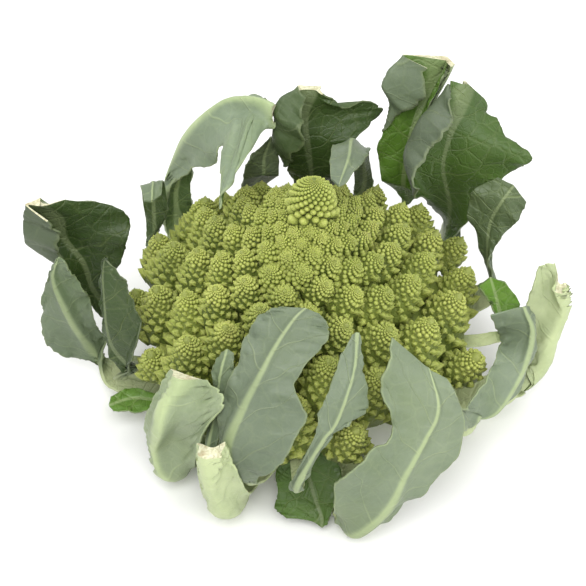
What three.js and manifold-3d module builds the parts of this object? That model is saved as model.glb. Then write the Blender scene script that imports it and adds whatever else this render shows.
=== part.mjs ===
// Romanesco head standing on its cut stump: millimetres, +Z up, front towards -Y.
// The origin is the centre of the stump's cut face.
import * as THREE from 'three';
import { mergeVertices } from 'three/addons/utils/BufferGeometryUtils.js';
import Module from 'manifold-3d';

const wasm = await Module();
wasm.setup();

// Driving sizes
const APEX_HEIGHT = 154.5;      // tip of the head above the cut face
const APEX_SHIFT_X = 4;         // the tip leans right, and forwards
const APEX_SHIFT_Y = -3;
const RIM_SHIFT_Y = 2;
const TOP_SLOPE = 38;           // degrees below level, before the rim bends it down
const RIM_SLOPE = 90;           // degrees below level at the rim
const SLOPE_POWER = 3.2;
const DOME_ARC = 153;           // length along the dome from tip to rim
const DOME_STEPS = 292;
const HILL_STEEPNESS = 28;      // the tip stands up as a small hill with a steeper side,
const HILL_ARC = 16;            // steepest at this arc from the tip
const HILL_WIDTH = 10;
const BACK_FLATTENING = 0.93;   // depth of the back half against the front half
const CORNER_BULGE = 0.13;      // the head reaches further back left and back right,
const RIGHT_BULGE = 0.1;        // and on the right, most at RIGHT_AZIMUTH
const RIGHT_AZIMUTH = -25;
const CURD_FLOOR = 52.4;        // underside of the head's solid core
const RIM_FLOOR = 43;           // lowest point of the rim florets

const STUMP_RADIUS = 23.6;
const STUMP_HEIGHT = 34;
const CROWN_RADIUS = 57;
const CROWN_TOP = 52;
const CROWN_RIDGES = 6;

// The spiral of florets: arc length from the tip grows by one ratio per floret.
const GOLDEN_ANGLE = 137.50776;
const SPIRAL_START = 5.95;
const SPIRAL_GROWTH = 0.0157;
const SPIRAL_PHASE = 218.2;
const FIRST_FLORET_ARC = 35;
const LAST_FLORET_ARC = 137;
const TIP_STEPS = [8, 13];      // neighbours of a bump near the tip of the head
const KNOB_STEPS = [3, 5];      // neighbours of a knob on one floret
const KNOB_GROWTH = 0.126;
const FLORET_SLOPE = 65;        // side of a floret, degrees below its own level
const SIDE_BULGE = 0.38;        // share by which the cone is blunter at its point
const FLORET_TILT = 12;         // the outer florets stand nearly upright
const YOUNG_TILT = 28;          // more for the ones near the tip, fading over UPRIGHT_ARC
const UPRIGHT_ARC = 62;
const LEAN_RIGHT = 0.1;         // every floret leans this much to the right
const TILT_STRAY = 6;           // degrees that a floret strays outwards or inwards,
const SIDE_STRAY = 0.1;         // and the share that it strays sideways
const TIP_STRAY = 0.08;         // share of its size that a tip sits deeper, twice at most
const FLORET_REACH = 0.56;      // share of a floret's size from its axis to its outer knobs
const FLORET_TURN = 2.4;        // radians from one floret's first knob to the next one's
const KNOB_LIFT = 0.24;         // how far a knob's tip stands out, by its distance from the axis
const KNOB_DIP = 0.1;           // how deep the hollows between knobs lie, likewise
const ROOT_DEPTH = 1.3;         // length of a floret by its size
const FLESH_DEPTH = 0.75;       // depth of the flesh below the tips, by a floret's size
const RIM_FLESH_DEPTH = 0.5;    // and at the rim
const CORE_ARCS = [120, 102, 84, 64, 44, 26];
const CORE_RADIUS = 64;         // of the flesh's flat underside
const CORE_TIP_DEPTH = 18;      // flesh below the tip of the head
const TIP_ROOT_DEPTH = 55;      // length of the crowded tip's root
const YOUNG_DIP = 0.12;         // depth of the hollows between young florets, by arc
const LEAF_CLEARANCE = 1.5;     // leaves stay this far off the head

const GOLD = THREE.MathUtils.degToRad(GOLDEN_ANGLE);
const rad = THREE.MathUtils.degToRad;

// The dome's outline by arc length, summed from its slope.
const DOME = (() => {
  const d = DOME_ARC / DOME_STEPS;
  const rows = [{ arc: 0, r: 0, z: APEX_HEIGHT, slope: rad(TOP_SLOPE) }];
  for (let i = 1; i <= DOME_STEPS; i++) {
    const last = rows[i - 1];
    const arc = i * d;
    const share = ((arc - d / 2) / DOME_ARC) ** SLOPE_POWER;
    const hill = HILL_STEEPNESS * Math.exp(-(((arc - HILL_ARC) / HILL_WIDTH) ** 2));
    const slope = rad(TOP_SLOPE + (RIM_SLOPE - TOP_SLOPE) * share + hill);
    const r = last.r + d * Math.cos(slope);
    const z = last.z - d * Math.sin(slope);
    rows.push({ arc, r, z, slope });
  }
  return rows;
})();
const RIM = DOME[DOME.length - 1];

function domeAt(arc) {
  const f = THREE.MathUtils.clamp(arc / DOME_ARC, 0, 0.9999) * (DOME.length - 1);
  const a = DOME[Math.floor(f)];
  const b = DOME[Math.floor(f) + 1];
  const k = f - Math.floor(f);
  const mix = (key) => a[key] + (b[key] - a[key]) * k;
  return { r: mix('r'), z: mix('z'), slope: mix('slope') };
}

function domeRadius(z) {
  if (z >= APEX_HEIGHT) return 0;
  const row = DOME.find((p) => p.z <= z);
  return row ? row.r : RIM.r;
}

// Lean and back flattening, applied to everything that lies on the dome.
function leanShift(z) {
  const k = THREE.MathUtils.clamp((z - RIM.z) / (APEX_HEIGHT - RIM.z), 0, 1);
  return { x: APEX_SHIFT_X * k * k, y: RIM_SHIFT_Y + (APEX_SHIFT_Y - RIM_SHIFT_Y) * k };
}

// How much further than the round dome the head reaches in the direction of (x, y).
function headReach(x, y) {
  const r = Math.hypot(x, y) || 1;
  const corner = y > 0 ? (2 * x * y / (r * r)) ** 2 : 0;
  const a = rad(RIGHT_AZIMUTH);
  const right = Math.max((x * Math.cos(a) + y * Math.sin(a)) / r, 0) ** 2;
  return (1 + CORNER_BULGE * corner) * (1 + RIGHT_BULGE * right);
}

function placeOnHead(x, y, z) {
  const shift = leanShift(z);
  const k = headReach(x, y);
  return new THREE.Vector3(k * x + shift.x, k * (y > 0 ? y * BACK_FLATTENING : y) + shift.y, z);
}

// A repeatable number from -1 to 1 for floret n: what is left of a large sine.
function wobble(n, k) {
  const value = Math.sin(n * 12.9898 + k * 78.233) * 43758.5453;
  return 2 * (value - Math.floor(value)) - 1;
}

function polar(azimuth, radius, z) {
  const a = rad(azimuth);
  return new THREE.Vector3(radius * Math.cos(a), radius * Math.sin(a), z);
}

// Solids
function toSolid(points, faces) {
  const geometry = new THREE.BufferGeometry();
  const flat = points.flatMap((p) => [p.x, p.y, p.z]);
  geometry.setAttribute('position', new THREE.Float32BufferAttribute(flat, 3));
  geometry.setIndex(faces.flat());
  return geometryToSolid(geometry);
}

function geometryToSolid(source) {
  const geometry = source.clone();
  geometry.deleteAttribute('normal');
  geometry.deleteAttribute('uv');
  const merged = mergeVertices(geometry, 1e-4);
  return new wasm.Manifold(new wasm.Mesh({
    numProp: 3,
    vertProperties: new Float32Array(merged.attributes.position.array),
    triVerts: new Uint32Array(merged.index.array),
  }));
}

function solidToGeometry(solid) {
  const mesh = solid.getMesh();
  const geometry = new THREE.BufferGeometry();
  geometry.setAttribute('position', new THREE.BufferAttribute(mesh.vertProperties, 3));
  geometry.setIndex(new THREE.BufferAttribute(mesh.triVerts, 1));
  const flat = geometry.toNonIndexed();
  flat.computeVertexNormals();
  return flat;
}

// A patch of spiral bumps: every bump is a six-sided pyramid whose foot corners lie
// in the hollows between it and its neighbours, the middles of the lattice's triangles.
function bumpPatch({ count, steps, tip, hollow, apex, root }) {
  const [a, b] = steps;
  const points = [apex];
  const index = new Map();
  const vertex = (key, make) => {
    if (!index.has(key)) {
      index.set(key, points.length);
      points.push(make());
    }
    return index.get(key);
  };
  const hollowVertex = (kind, i) => {
    if (i < 0) return 0;
    const others = kind === 1 ? [i, i + a, i + a + b] : [i, i + b, i + a + b];
    return vertex(`h${kind}.${i}`, () => hollow(others));
  };
  const faces = [];
  for (let i = 0; i < count; i++) {
    const top = vertex(`t${i}`, () => tip(i));
    const ring = [
      hollowVertex(1, i), hollowVertex(2, i), hollowVertex(1, i - a),
      hollowVertex(2, i - a - b), hollowVertex(1, i - a - b), hollowVertex(2, i - b),
    ];
    ring.forEach((from, k) => {
      const to = ring[(k + 1) % 6];
      if (from !== to) faces.push([top, to, from]);
    });
  }
  // The open outer edge closes on one root point below.
  const edges = new Set(faces.flatMap(([p, q, r]) => [`${p},${q}`, `${q},${r}`, `${r},${p}`]));
  const base = points.length;
  points.push(root);
  for (const edge of edges) {
    const [p, q] = edge.split(',').map(Number);
    if (!edges.has(`${q},${p}`)) faces.push([q, p, base]);
  }
  return toSolid(points, faces);
}

// Distance between neighbours on the spiral, from the dome area that one floret has.
function spacing(r, arc) {
  const cell = 2 * Math.PI * r * arc * SPIRAL_GROWTH;
  return Math.sqrt(2 * cell / Math.sqrt(3));
}

// One floret: a cone of knobs on the same golden spiral as the head's.
function floret(n) {
  const arc = SPIRAL_START * Math.exp(SPIRAL_GROWTH * n);
  const azimuth = rad(SPIRAL_PHASE) + GOLD * n;
  const { r, z } = domeAt(arc);
  const size = spacing(r, arc);
  const knobs = size > 24 ? 12 : size > 13 ? 10 : 8;
  const young = Math.exp(-((arc / UPRIGHT_ARC) ** 3));
  const tilt = rad(FLORET_TILT + YOUNG_TILT * young + TILT_STRAY * wobble(n, 1));
  const out = new THREE.Vector3(Math.cos(azimuth), Math.sin(azimuth), 0);
  const flat = new THREE.Vector3(-out.y, out.x, 0);
  const axis = out.clone().multiplyScalar(Math.sin(tilt)).setZ(Math.cos(tilt))
    .addScaledVector(flat, SIDE_STRAY * wobble(n, 2)).add(new THREE.Vector3(LEAN_RIGHT, 0, 0)).normalize();
  const down = new THREE.Vector3().crossVectors(axis, flat).normalize();
  const side = new THREE.Vector3().crossVectors(down, axis);
  const tipPoint = new THREE.Vector3(r * out.x, r * out.y, z - TIP_STRAY * size * (1 + wobble(n, 3)));
  const reach = FLORET_REACH * size;
  const turn = n * FLORET_TURN;
  const onCone = (radius, angle, lift) => {
    const bulge = 1 - SIDE_BULGE * (1 - radius / reach);
    const depth = radius * Math.tan(rad(FLORET_SLOPE)) * bulge;
    const p = tipPoint.clone()
      .addScaledVector(side, radius * Math.cos(angle))
      .addScaledVector(down, radius * Math.sin(angle))
      .addScaledVector(axis, lift - depth);
    return placeOnHead(p.x, p.y, p.z);
  };
  const radiusOf = (i) => reach * Math.exp(KNOB_GROWTH * (i - knobs + 1));
  const mean = (list, f) => list.reduce((sum, i) => sum + f(i), 0) / list.length;
  const hollow = (list) => {
    const radius = Math.min(mean(list, radiusOf), reach * 1.12);
    const x = mean(list, (i) => Math.cos(turn + GOLD * i));
    const y = mean(list, (i) => Math.sin(turn + GOLD * i));
    return onCone(radius, Math.atan2(y, x), -KNOB_DIP * radius);
  };
  return bumpPatch({
    count: knobs,
    steps: KNOB_STEPS,
    tip: (i) => onCone(radiusOf(i) * 1.04, turn + GOLD * i, KNOB_LIFT * radiusOf(i)),
    hollow,
    apex: onCone(0, 0, 0),
    root: onCone(0, 0, -ROOT_DEPTH * size),
  });
}

// The crowded young florets round the tip, one bump each.
function headTip() {
  const count = Math.ceil(Math.log(FIRST_FLORET_ARC * 1.06 / SPIRAL_START) / SPIRAL_GROWTH);
  const place = (arc, angle, lift) => {
    const { r, z } = domeAt(arc);
    return placeOnHead(r * Math.cos(angle), r * Math.sin(angle), z + lift);
  };
  const arcOf = (i) => SPIRAL_START * Math.exp(SPIRAL_GROWTH * i);
  const angleOf = (i) => rad(SPIRAL_PHASE) + GOLD * i;
  const mean = (list, f) => list.reduce((sum, i) => sum + f(i), 0) / list.length;
  const hollow = (list) => {
    const arc = mean(list, arcOf);
    const x = mean(list, (i) => Math.cos(angleOf(i)));
    const y = mean(list, (i) => Math.sin(angleOf(i)));
    return place(arc, Math.atan2(y, x), -YOUNG_DIP * arc);
  };
  return bumpPatch({
    count,
    steps: TIP_STEPS,
    tip: (i) => place(arcOf(i), angleOf(i), 0),
    hollow,
    apex: new THREE.Vector3(APEX_SHIFT_X, APEX_SHIFT_Y, APEX_HEIGHT),
    root: new THREE.Vector3(0, 0, APEX_HEIGHT - TIP_ROOT_DEPTH),
  });
}

// The flesh below the florets, which holds every root.
function curdCore() {
  const depthAt = (arc) => {
    const { r } = domeAt(arc);
    const rim = THREE.MathUtils.clamp((arc - 90) / 30, 0, 1);
    const share = FLESH_DEPTH + (RIM_FLESH_DEPTH - FLESH_DEPTH) * rim;
    return share * spacing(r, arc);
  };
  const outline = [new THREE.Vector2(0, CURD_FLOOR), new THREE.Vector2(CORE_RADIUS, CURD_FLOOR)];
  for (const arc of CORE_ARCS) {
    const { r, z, slope } = domeAt(arc);
    const depth = depthAt(arc);
    outline.push(new THREE.Vector2(r - depth * Math.sin(slope), z - depth * Math.cos(slope)));
  }
  outline.push(new THREE.Vector2(0, APEX_HEIGHT - CORE_TIP_DEPTH));
  const geometry = new THREE.LatheGeometry(outline, 20);
  geometry.rotateX(Math.PI / 2);
  const at = geometry.attributes.position;
  for (let i = 0; i < at.count; i++) {
    const p = placeOnHead(at.getX(i), at.getY(i), at.getZ(i));
    at.setXYZ(i, p.x, p.y, p.z);
  }
  return geometryToSolid(geometry);
}

function curd() {
  let body = curdCore().add(headTip());
  const first = Math.ceil(Math.log(FIRST_FLORET_ARC / SPIRAL_START) / SPIRAL_GROWTH);
  const last = Math.floor(Math.log(LAST_FLORET_ARC / SPIRAL_START) / SPIRAL_GROWTH);
  for (let n = first; n <= last; n++) body = body.add(floret(n));
  // Room below for the stem's crown, and a level limit under the rim.
  const under = new THREE.CylinderGeometry(60, 60, CURD_FLOOR, 24);
  under.rotateX(Math.PI / 2);
  under.translate(0, 0, CURD_FLOOR / 2);
  const low = new THREE.BoxGeometry(300, 300, RIM_FLOOR);
  low.translate(0, 0, RIM_FLOOR / 2);
  const cut = body.subtract(geometryToSolid(under)).subtract(geometryToSolid(low));
  return cut.decompose().reduce((best, one) => (one.volume() > best.volume() ? one : best));
}

// Stem: a round stump that spreads into a ridged crown under the head.
function stem() {
  const outline = [
    [0, 0], [STUMP_RADIUS - 1, 0], [STUMP_RADIUS, 2], [STUMP_RADIUS, STUMP_HEIGHT],
    [STUMP_RADIUS + 8, 39], [CROWN_RADIUS - 12, 46], [CROWN_RADIUS, CROWN_TOP - 2],
    [CROWN_RADIUS - 1, CROWN_TOP], [0, CROWN_TOP],
  ].map(([x, z]) => new THREE.Vector2(x, z));
  const geometry = new THREE.LatheGeometry(outline, 24);
  geometry.rotateX(Math.PI / 2);
  const at = geometry.attributes.position;
  for (let i = 0; i < at.count; i++) {
    const x = at.getX(i);
    const y = at.getY(i);
    const z = at.getZ(i);
    const spread = THREE.MathUtils.clamp((z - STUMP_HEIGHT) / 14, 0, 1);
    const wave = Math.cos(CROWN_RIDGES * Math.atan2(y, x));
    const k = 1 - spread * 0.07 * (1 - wave);
    at.setXYZ(i, x * k, y * k, z);
  }
  return geometryToSolid(geometry);
}

// Leaves. A row is where the leaf is crossed: left edge, rib and right edge as seen
// from outside, each [azimuth, radius, height] on the inner face. A fourth point
// before the right edge is a fold. A stalk row is one point and a width.
const stalk = (azimuth, radius, z, width) => ({ centre: [azimuth, radius, z], width });

const LEAVES = [
  { name: 'leaf_front_right', thick: [8, 4, 2], wave: 1.5, rows: [
    stalk(-67, 25, 10, 18), stalk(-70, 60, 11, 21), stalk(-74, 88, 10, 22),
    [[-81, 93, 16], [-76, 99, 10], [-69, 101, 14]],
    [[-83, 98, 50], [-69, 103, 31], [-63, 104, 28]],
    [[-72, 94, 65], [-63, 101, 51], [-54, 108, 42]],
    [[-64, 89, 73], [-56, 97, 63], [-46, 106, 58]],
    [[-65, 78, 88], [-50, 93, 74], [-43, 98, 72]],
    [[-54, 64, 103], [-46, 80, 86], [-43, 89, 82]],
  ] },
  { name: 'leaf_front_left', thick: [7, 3.5, 2], wave: 1, rows: [
    stalk(-101, 25, 20, 15), stalk(-105, 60, 27, 17), stalk(-107, 84, 37, 16),
    [[-113, 93, 48], [-109, 94, 48], [-103, 94, 48]],
    [[-116, 90, 70], [-111, 94, 68], [-95, 94, 63]],
    [[-118, 80, 85], [-109, 85, 84], [-89, 83, 81]],
    [[-116, 69, 97], [-106, 74, 96], [-93, 73, 94]],
    [[-117, 60, 106], [-102, 62, 106], [-83, 62, 104]],
    [[-113, 52, 113], [-96, 53, 114], [-78, 55, 110]],
    [[-104, 48, 117], [-90, 48, 117], [-82, 50, 115]],
  ] },
  { name: 'leaf_front_stub', thick: [8, 8, 8], cutWidth: 14, rows: [
    stalk(-118, 25, 10, 19), stalk(-118, 60, 11, 26),
    [[-121, 92, 18], [-114, 90, 14], [-107, 85, 22]],
    [[-120, 99, 42], [-114, 99, 43], [-107, 101, 58]],
    [[-120, 99, 57], [-114, 102, 63], [-109, 100, 69]],
    [[-120, 99, 67], [-114, 102, 75], [-111, 99, 78]],
  ] },
  { name: 'leaf_left_stub', thick: [7.5, 9, 9], cutWidth: 12, rows: [
    stalk(-142, 25, 19, 18), stalk(-144, 58, 21, 24),
    [[-141, 90, 18], [-136, 87, 15], [-128, 83, 20]],
    [[-144, 94, 34], [-138, 90, 36], [-128, 88, 44], [-119, 94, 68]],
    [[-141, 94, 58], [-132, 93, 65], [-123, 90, 72], [-114, 87, 87]],
    [[-139, 89, 73], [-131, 86, 78], [-123, 84, 82], [-117, 83, 91]],
    [[-138, 83, 83], [-131, 81, 86], [-123, 80, 88]],
  ] },
  { name: 'leaf_left_scrap', thick: [4, 2, 1.5], wave: 0.4, rows: [
    stalk(-130, 25, 33, 7), stalk(-125, 60, 36, 7), stalk(-121, 88, 39, 6),
    [[-120, 94, 50], [-118, 95, 50], [-116, 95, 50]],
    [[-122, 79, 81], [-120, 78, 82], [-116, 77, 84]],
    [[-125, 74, 88], [-121, 73, 90], [-117, 70, 92]],
    [[-124, 68, 96], [-122, 66, 98], [-119, 66, 97]],
  ] },
  { name: 'leaf_left_curled', thick: [6, 3, 2], wave: 0.8, rows: [
    stalk(-163, 25, 27, 14), stalk(-166, 60, 29, 15), stalk(-169, 90, 32, 14),
    [[-163, 78, 50], [-166, 87, 38], [-166, 90, 34]],
    [[-164, 78, 62], [-169, 94, 50], [-169, 96, 44]],
    [[-170, 80, 74], [-171, 96, 62], [-173, 98, 56]],
    [[-174, 83, 82], [-175, 96, 76], [-177, 98, 68]],
    [[-177, 86, 88], [-179, 96, 86], [180, 98, 78]],
    [[179, 94, 92], [178, 95, 93], [177, 97, 88]],
  ] },
  { name: 'leaf_far_left_low', thick: [8, 4, 2], wave: 1.2, rows: [
    stalk(-166, 25, 10, 19), stalk(-171, 60, 13, 23), stalk(-177, 92, 16, 22),
    [[-179, 112, 22], [179, 104, 22], [178, 98, 33]],
    [[180, 127, 28], [-179, 112, 48], [-180, 101, 44]],
    [[179, 129, 50], [-178, 116, 68], [-180, 103, 66]],
    [[-180, 124, 76], [-179, 119, 86], [-179, 108, 84]],
    [[-179, 117, 98], [-179, 115, 100], [-178, 112, 98]],
  ] },
  { name: 'leaf_far_left_high', thick: [7.5, 5, 5], cutWidth: 8, wave: 1.2, rows: [
    stalk(168, 25, 19, 17), stalk(167, 62, 24, 20), stalk(166, 95, 28, 19),
    [[165, 99, 46], [167, 107, 42], [169, 111, 40]],
    [[163, 94, 62], [167, 111, 64], [170, 116, 68], [171, 115, 60]],
    [[162, 88, 78], [167, 119, 80], [173, 135, 90], [174, 116, 80]],
    [[158, 94, 92], [168, 120, 96], [172, 134, 103], [174, 114, 98]],
    [[166, 116, 107], [171, 126, 110], [171, 132, 110], [175, 120, 110]],
  ] },
  { name: 'leaf_low_left', thick: [4, 2.5, 1.5], wave: 0.6, rows: [
    stalk(-152, 26, 33, 7), stalk(-152, 58, 31, 9),
    [[-162, 75, 22], [-159, 74, 21], [-155, 75, 21]],
    [[-168, 87, 20], [-164, 88, 19], [-158, 88, 19]],
    [[-165, 98, 22], [-163, 100, 20], [-161, 99, 19]],
  ] },
  { name: 'leaf_front_dark', thick: [6, 3, 2], wave: 0.8, rows: [
    stalk(-80, 25, 28, 13), stalk(-84, 58, 33, 14),
    [[-90, 66, 32], [-86, 64, 32], [-79, 69, 34]],
    [[-100, 74, 28], [-89, 69, 26], [-76, 75, 28]],
    [[-100, 82, 18], [-87, 79, 16], [-77, 82, 20]],
    [[-99, 88, 12], [-85, 88, 9], [-82, 89, 12]],
    [[-88, 87, 7], [-85, 92, 6], [-83, 91, 7]],
  ] },
  { name: 'leaf_front_small', thick: [4, 2.5, 1.5], wave: 0.4, rows: [
    stalk(-96, 25, 34, 7), stalk(-94, 60, 38, 7), stalk(-92, 88, 39.5, 6),
    [[-94, 96, 50], [-92, 97, 51], [-90, 96, 52]],
    [[-87, 86, 75], [-85, 88, 72], [-82, 87, 73]],
    [[-86, 80, 83], [-81, 85, 79], [-72, 83, 79]],
    [[-82, 74, 91], [-77, 79, 88], [-69, 80, 84]],
    [[-75, 63, 102], [-72, 70, 97], [-68, 70, 96]],
    [[-69, 59, 107], [-67, 59, 108], [-66, 60, 106]],
  ] },
  { name: 'leaf_right_hugging', thick: [6, 3, 2], wave: 1, rows: [
    stalk(-35, 25, 19, 15), stalk(-34, 60, 23, 18), stalk(-33, 90, 31, 16),
    [[-40, 94, 58], [-34, 94, 44], [-31, 95, 38]],
    [[-35, 94, 56], [-28, 102, 41], [-24, 104, 34]],
    [[-19, 94, 56], [-17, 108, 51], [-13, 111, 44]],
    [[-8, 95, 53], [-10, 110, 64], [-6, 112, 58]],
    [[-11, 88, 74], [-8, 104, 78], [-5, 107, 72]],
  ] },
  { name: 'leaf_right_stub', thick: [8, 8, 7], cutWidth: 9, wave: 0.6, rows: [
    stalk(-14, 25, 10, 17), stalk(-14, 62, 13, 22), stalk(-11, 96, 18, 20),
    [[-4, 107, 24], [-3, 114, 22], [1, 121, 22]],
    [[-1, 107, 44], [0, 119, 40], [4, 128, 42]],
    [[0, 107, 66], [2, 123, 56], [4, 130, 54]],
    [[4, 113, 82], [2, 123, 70], [2, 127, 68]],
    [[4, 120, 84], [2, 123, 74], [2, 126, 74]],
  ] },
  { name: 'leaf_right_small', thick: [4, 2, 1.5], wave: 0.6, rows: [
    stalk(-3, 25, 33, 7), stalk(-3, 62, 37, 7), stalk(-2, 90, 39.5, 7),
    [[0, 104, 48], [-1, 96, 48], [-1, 89, 48]],
    [[2, 105, 60], [1, 94, 60], [0, 81, 60]],
    [[3, 97, 72], [4, 90, 74], [1, 82, 72]],
  ] },
  { name: 'leaf_right_back', thick: [6, 3.5, 2], wave: 1.2, rows: [
    stalk(16, 25, 27, 14), stalk(16, 62, 31, 15), stalk(16, 91, 37, 14),
    [[13, 95, 46], [17, 95, 46], [20, 94, 46]],
    [[16, 95, 64], [19, 95, 66], [22, 94, 64]],
    [[18, 101, 74], [22, 98, 80], [28, 90, 80]],
    [[18, 110, 84], [22, 103, 93], [29, 93, 94]],
    [[20, 115, 92], [23, 110, 100], [27, 104, 102]],
  ] },
  { name: 'leaf_back_right', thick: [8, 9, 8], cutWidth: 11, wave: 1.5, rows: [
    stalk(50, 25, 10, 19), stalk(51, 62, 14, 24), stalk(46, 96, 25, 23),
    [[36, 103, 55], [42, 99, 56], [49, 96, 57]],
    [[31, 112, 86], [42, 92, 92], [48, 76, 98], [27, 59, 110]],
    [[27, 126, 104], [42, 96, 112], [49, 79, 118], [35, 73, 122]],
    [[38, 120, 112], [43, 104, 124], [48, 95, 130], [37, 88, 132]],
    [[42, 119, 122], [44, 111, 134], [49, 106, 135]],
  ] },
  { name: 'leaf_back_right_inner', thick: [6, 5, 4], cutWidth: 6, wave: 1, rows: [
    stalk(70, 25, 27, 14), stalk(66, 60, 31, 15), stalk(59, 86, 38, 14),
    [[51, 85, 62], [54, 84, 62], [58, 83, 62]],
    [[50, 83, 84], [53, 82, 84], [60, 75, 82]],
    [[50, 89, 106], [54, 88, 106], [63, 79, 100]],
    [[51, 97, 122], [54, 99, 122], [61, 86, 128], [58, 85, 116]],
    [[51, 106, 134], [53, 106, 134], [63, 83, 140], [52, 92, 124]],
    [[51, 110, 141], [52, 109, 142], [60, 95, 149], [53, 100, 142]],
  ] },
  { name: 'leaf_back_flap', thick: [4, 2, 1.5], wave: 0.6, rows: [
    stalk(82, 25, 33, 7), stalk(80, 60, 36, 7), stalk(75, 86, 39, 7),
    [[67, 90, 54], [70, 90, 54], [73, 89, 54]],
    [[66, 79, 92], [67, 74, 94], [72, 71, 94]],
    [[57, 57, 116], [67, 58, 120], [74, 52, 120]],
    [[45, 37, 132], [54, 34, 134], [69, 31, 134]],
    [[20, 20, 140], [17, 16, 140], [39, 15, 140]],
  ] },
  { name: 'leaf_back_centre', thick: [7.5, 6, 5], cutWidth: 7, wave: 1.5, rows: [
    stalk(92, 25, 19, 17), stalk(92, 60, 24, 21), stalk(91, 84, 33, 20),
    [[79, 77, 58], [87, 75, 58], [93, 77, 58]],
    [[75, 72, 82], [87, 69, 82], [97, 71, 84]],
    [[70, 76, 104], [88, 68, 102], [102, 64, 106], [96, 57, 100]],
    [[64, 95, 112], [89, 72, 116], [103, 63, 124], [89, 52, 118]],
    [[75, 78, 122], [88, 74, 127], [100, 69, 133], [90, 56, 130]],
    [[83, 75, 130], [87, 76, 132], [92, 73, 134], [89, 70, 132]],
  ] },
  { name: 'leaf_back_left_inner', thick: [4, 2, 1.5], wave: 0.6, rows: [
    stalk(112, 25, 33, 7), stalk(112, 60, 36, 7), stalk(110, 86, 39, 7),
    [[105, 84, 56], [108, 84, 56], [112, 84, 56]],
    [[101, 67, 80], [108, 67, 82], [114, 75, 80]],
    [[101, 65, 98], [107, 67, 98], [115, 68, 96]],
    [[102, 67, 110], [104, 67, 110], [108, 67, 106]],
  ] },
  { name: 'leaf_back_left', thick: [8, 7, 7], cutWidth: 10, wave: 1, rows: [
    stalk(130, 25, 10, 18), stalk(130, 62, 15, 22), stalk(130, 93, 26, 21),
    [[126, 98, 52], [130, 102, 52], [133, 104, 50]],
    [[124, 98, 78], [126, 100, 80], [130, 90, 82]],
    [[121, 97, 90], [124, 91, 102], [127, 80, 103], [128, 71, 100]],
    [[112, 100, 106], [117, 84, 117], [122, 72, 120], [127, 65, 118]],
    [[109, 94, 114], [113, 78, 123], [120, 61, 126], [164, 43, 115]],
    [[103, 86, 120], [108, 70, 127], [117, 59, 130], [146, 41, 124]],
    [[106, 76, 124], [104, 63, 128], [108, 60, 127]],
  ] },
  { name: 'leaf_left_back_small', thick: [4, 2, 1.5], wave: 0.5, rows: [
    stalk(148, 25, 33, 7), stalk(149, 60, 37, 7), stalk(148, 88, 40, 7),
    [[138, 94, 44], [141, 98, 44], [142, 102, 44]],
    [[137, 94, 62], [140, 99, 62], [142, 103, 62]],
    [[137, 95, 80], [140, 98, 80], [143, 102, 80]],
    [[144, 87, 84], [149, 87, 86], [150, 91, 86]],
  ] },
];

const BLADE = 1.2;              // thickness of a blade away from its rib
const ACROSS = [0, 1, 2, 3, 4, 5, 6];

function spline(points, t) {
  const last = points.length - 1;
  const i = Math.min(Math.floor(t), last - 1);
  const f = t - i;
  const p1 = points[i];
  const p2 = points[i + 1];
  const p0 = i > 0 ? points[i - 1] : p1.clone().multiplyScalar(2).sub(p2);
  const p3 = i + 2 <= last ? points[i + 2] : p2.clone().multiplyScalar(2).sub(p1);
  return new THREE.Vector3()
    .addScaledVector(p0, -0.5 * f + f * f - 0.5 * f ** 3)
    .addScaledVector(p1, 1 - 2.5 * f * f + 1.5 * f ** 3)
    .addScaledVector(p2, 0.5 * f + 2 * f * f - 1.5 * f ** 3)
    .addScaledVector(p3, -0.5 * f * f + 0.5 * f ** 3);
}

// Five control points across each row: left edge, left half, rib, right half, right edge.
function controlRows(rows) {
  const ribOf = (row) => polar(...(row.centre ?? row[1]));
  return rows.map((row, i) => {
    const rib = ribOf(row);
    if (row.centre) {
      const along = ribOf(rows[i + 1]).sub(rib).normalize();
      const right = new THREE.Vector3(0, 0, -1).cross(along).negate().normalize();
      return [-0.5, -0.25, 0, 0.25, 0.5]
        .map((k) => rib.clone().addScaledVector(right, k * row.width));
    }
    const p = row.map((q) => polar(...q));
    const left = p[0];
    const right = p[p.length - 1];
    const fold = p.length === 4 ? p[2] : rib.clone().lerp(right, 0.5);
    return [left, left.clone().lerp(rib, 0.5), rib, fold, right];
  });
}

// Keeps a point off the head: outside the dome by the clearance, above the rim's floor.
function clearOfHead(p) {
  if (p.z < RIM_FLOOR - 2) return p;
  const shift = leanShift(p.z);
  const x = p.x - shift.x;
  const yc = p.y - shift.y;
  const y = yc > 0 ? yc / BACK_FLATTENING : yc;
  const r = Math.hypot(x, y);
  const least = domeRadius(p.z) * headReach(x, y) + LEAF_CLEARANCE;
  if (r >= least || r === 0) return p;
  const k = least / r;
  return new THREE.Vector3(shift.x + x * k, shift.y + yc * k, p.z);
}

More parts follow.
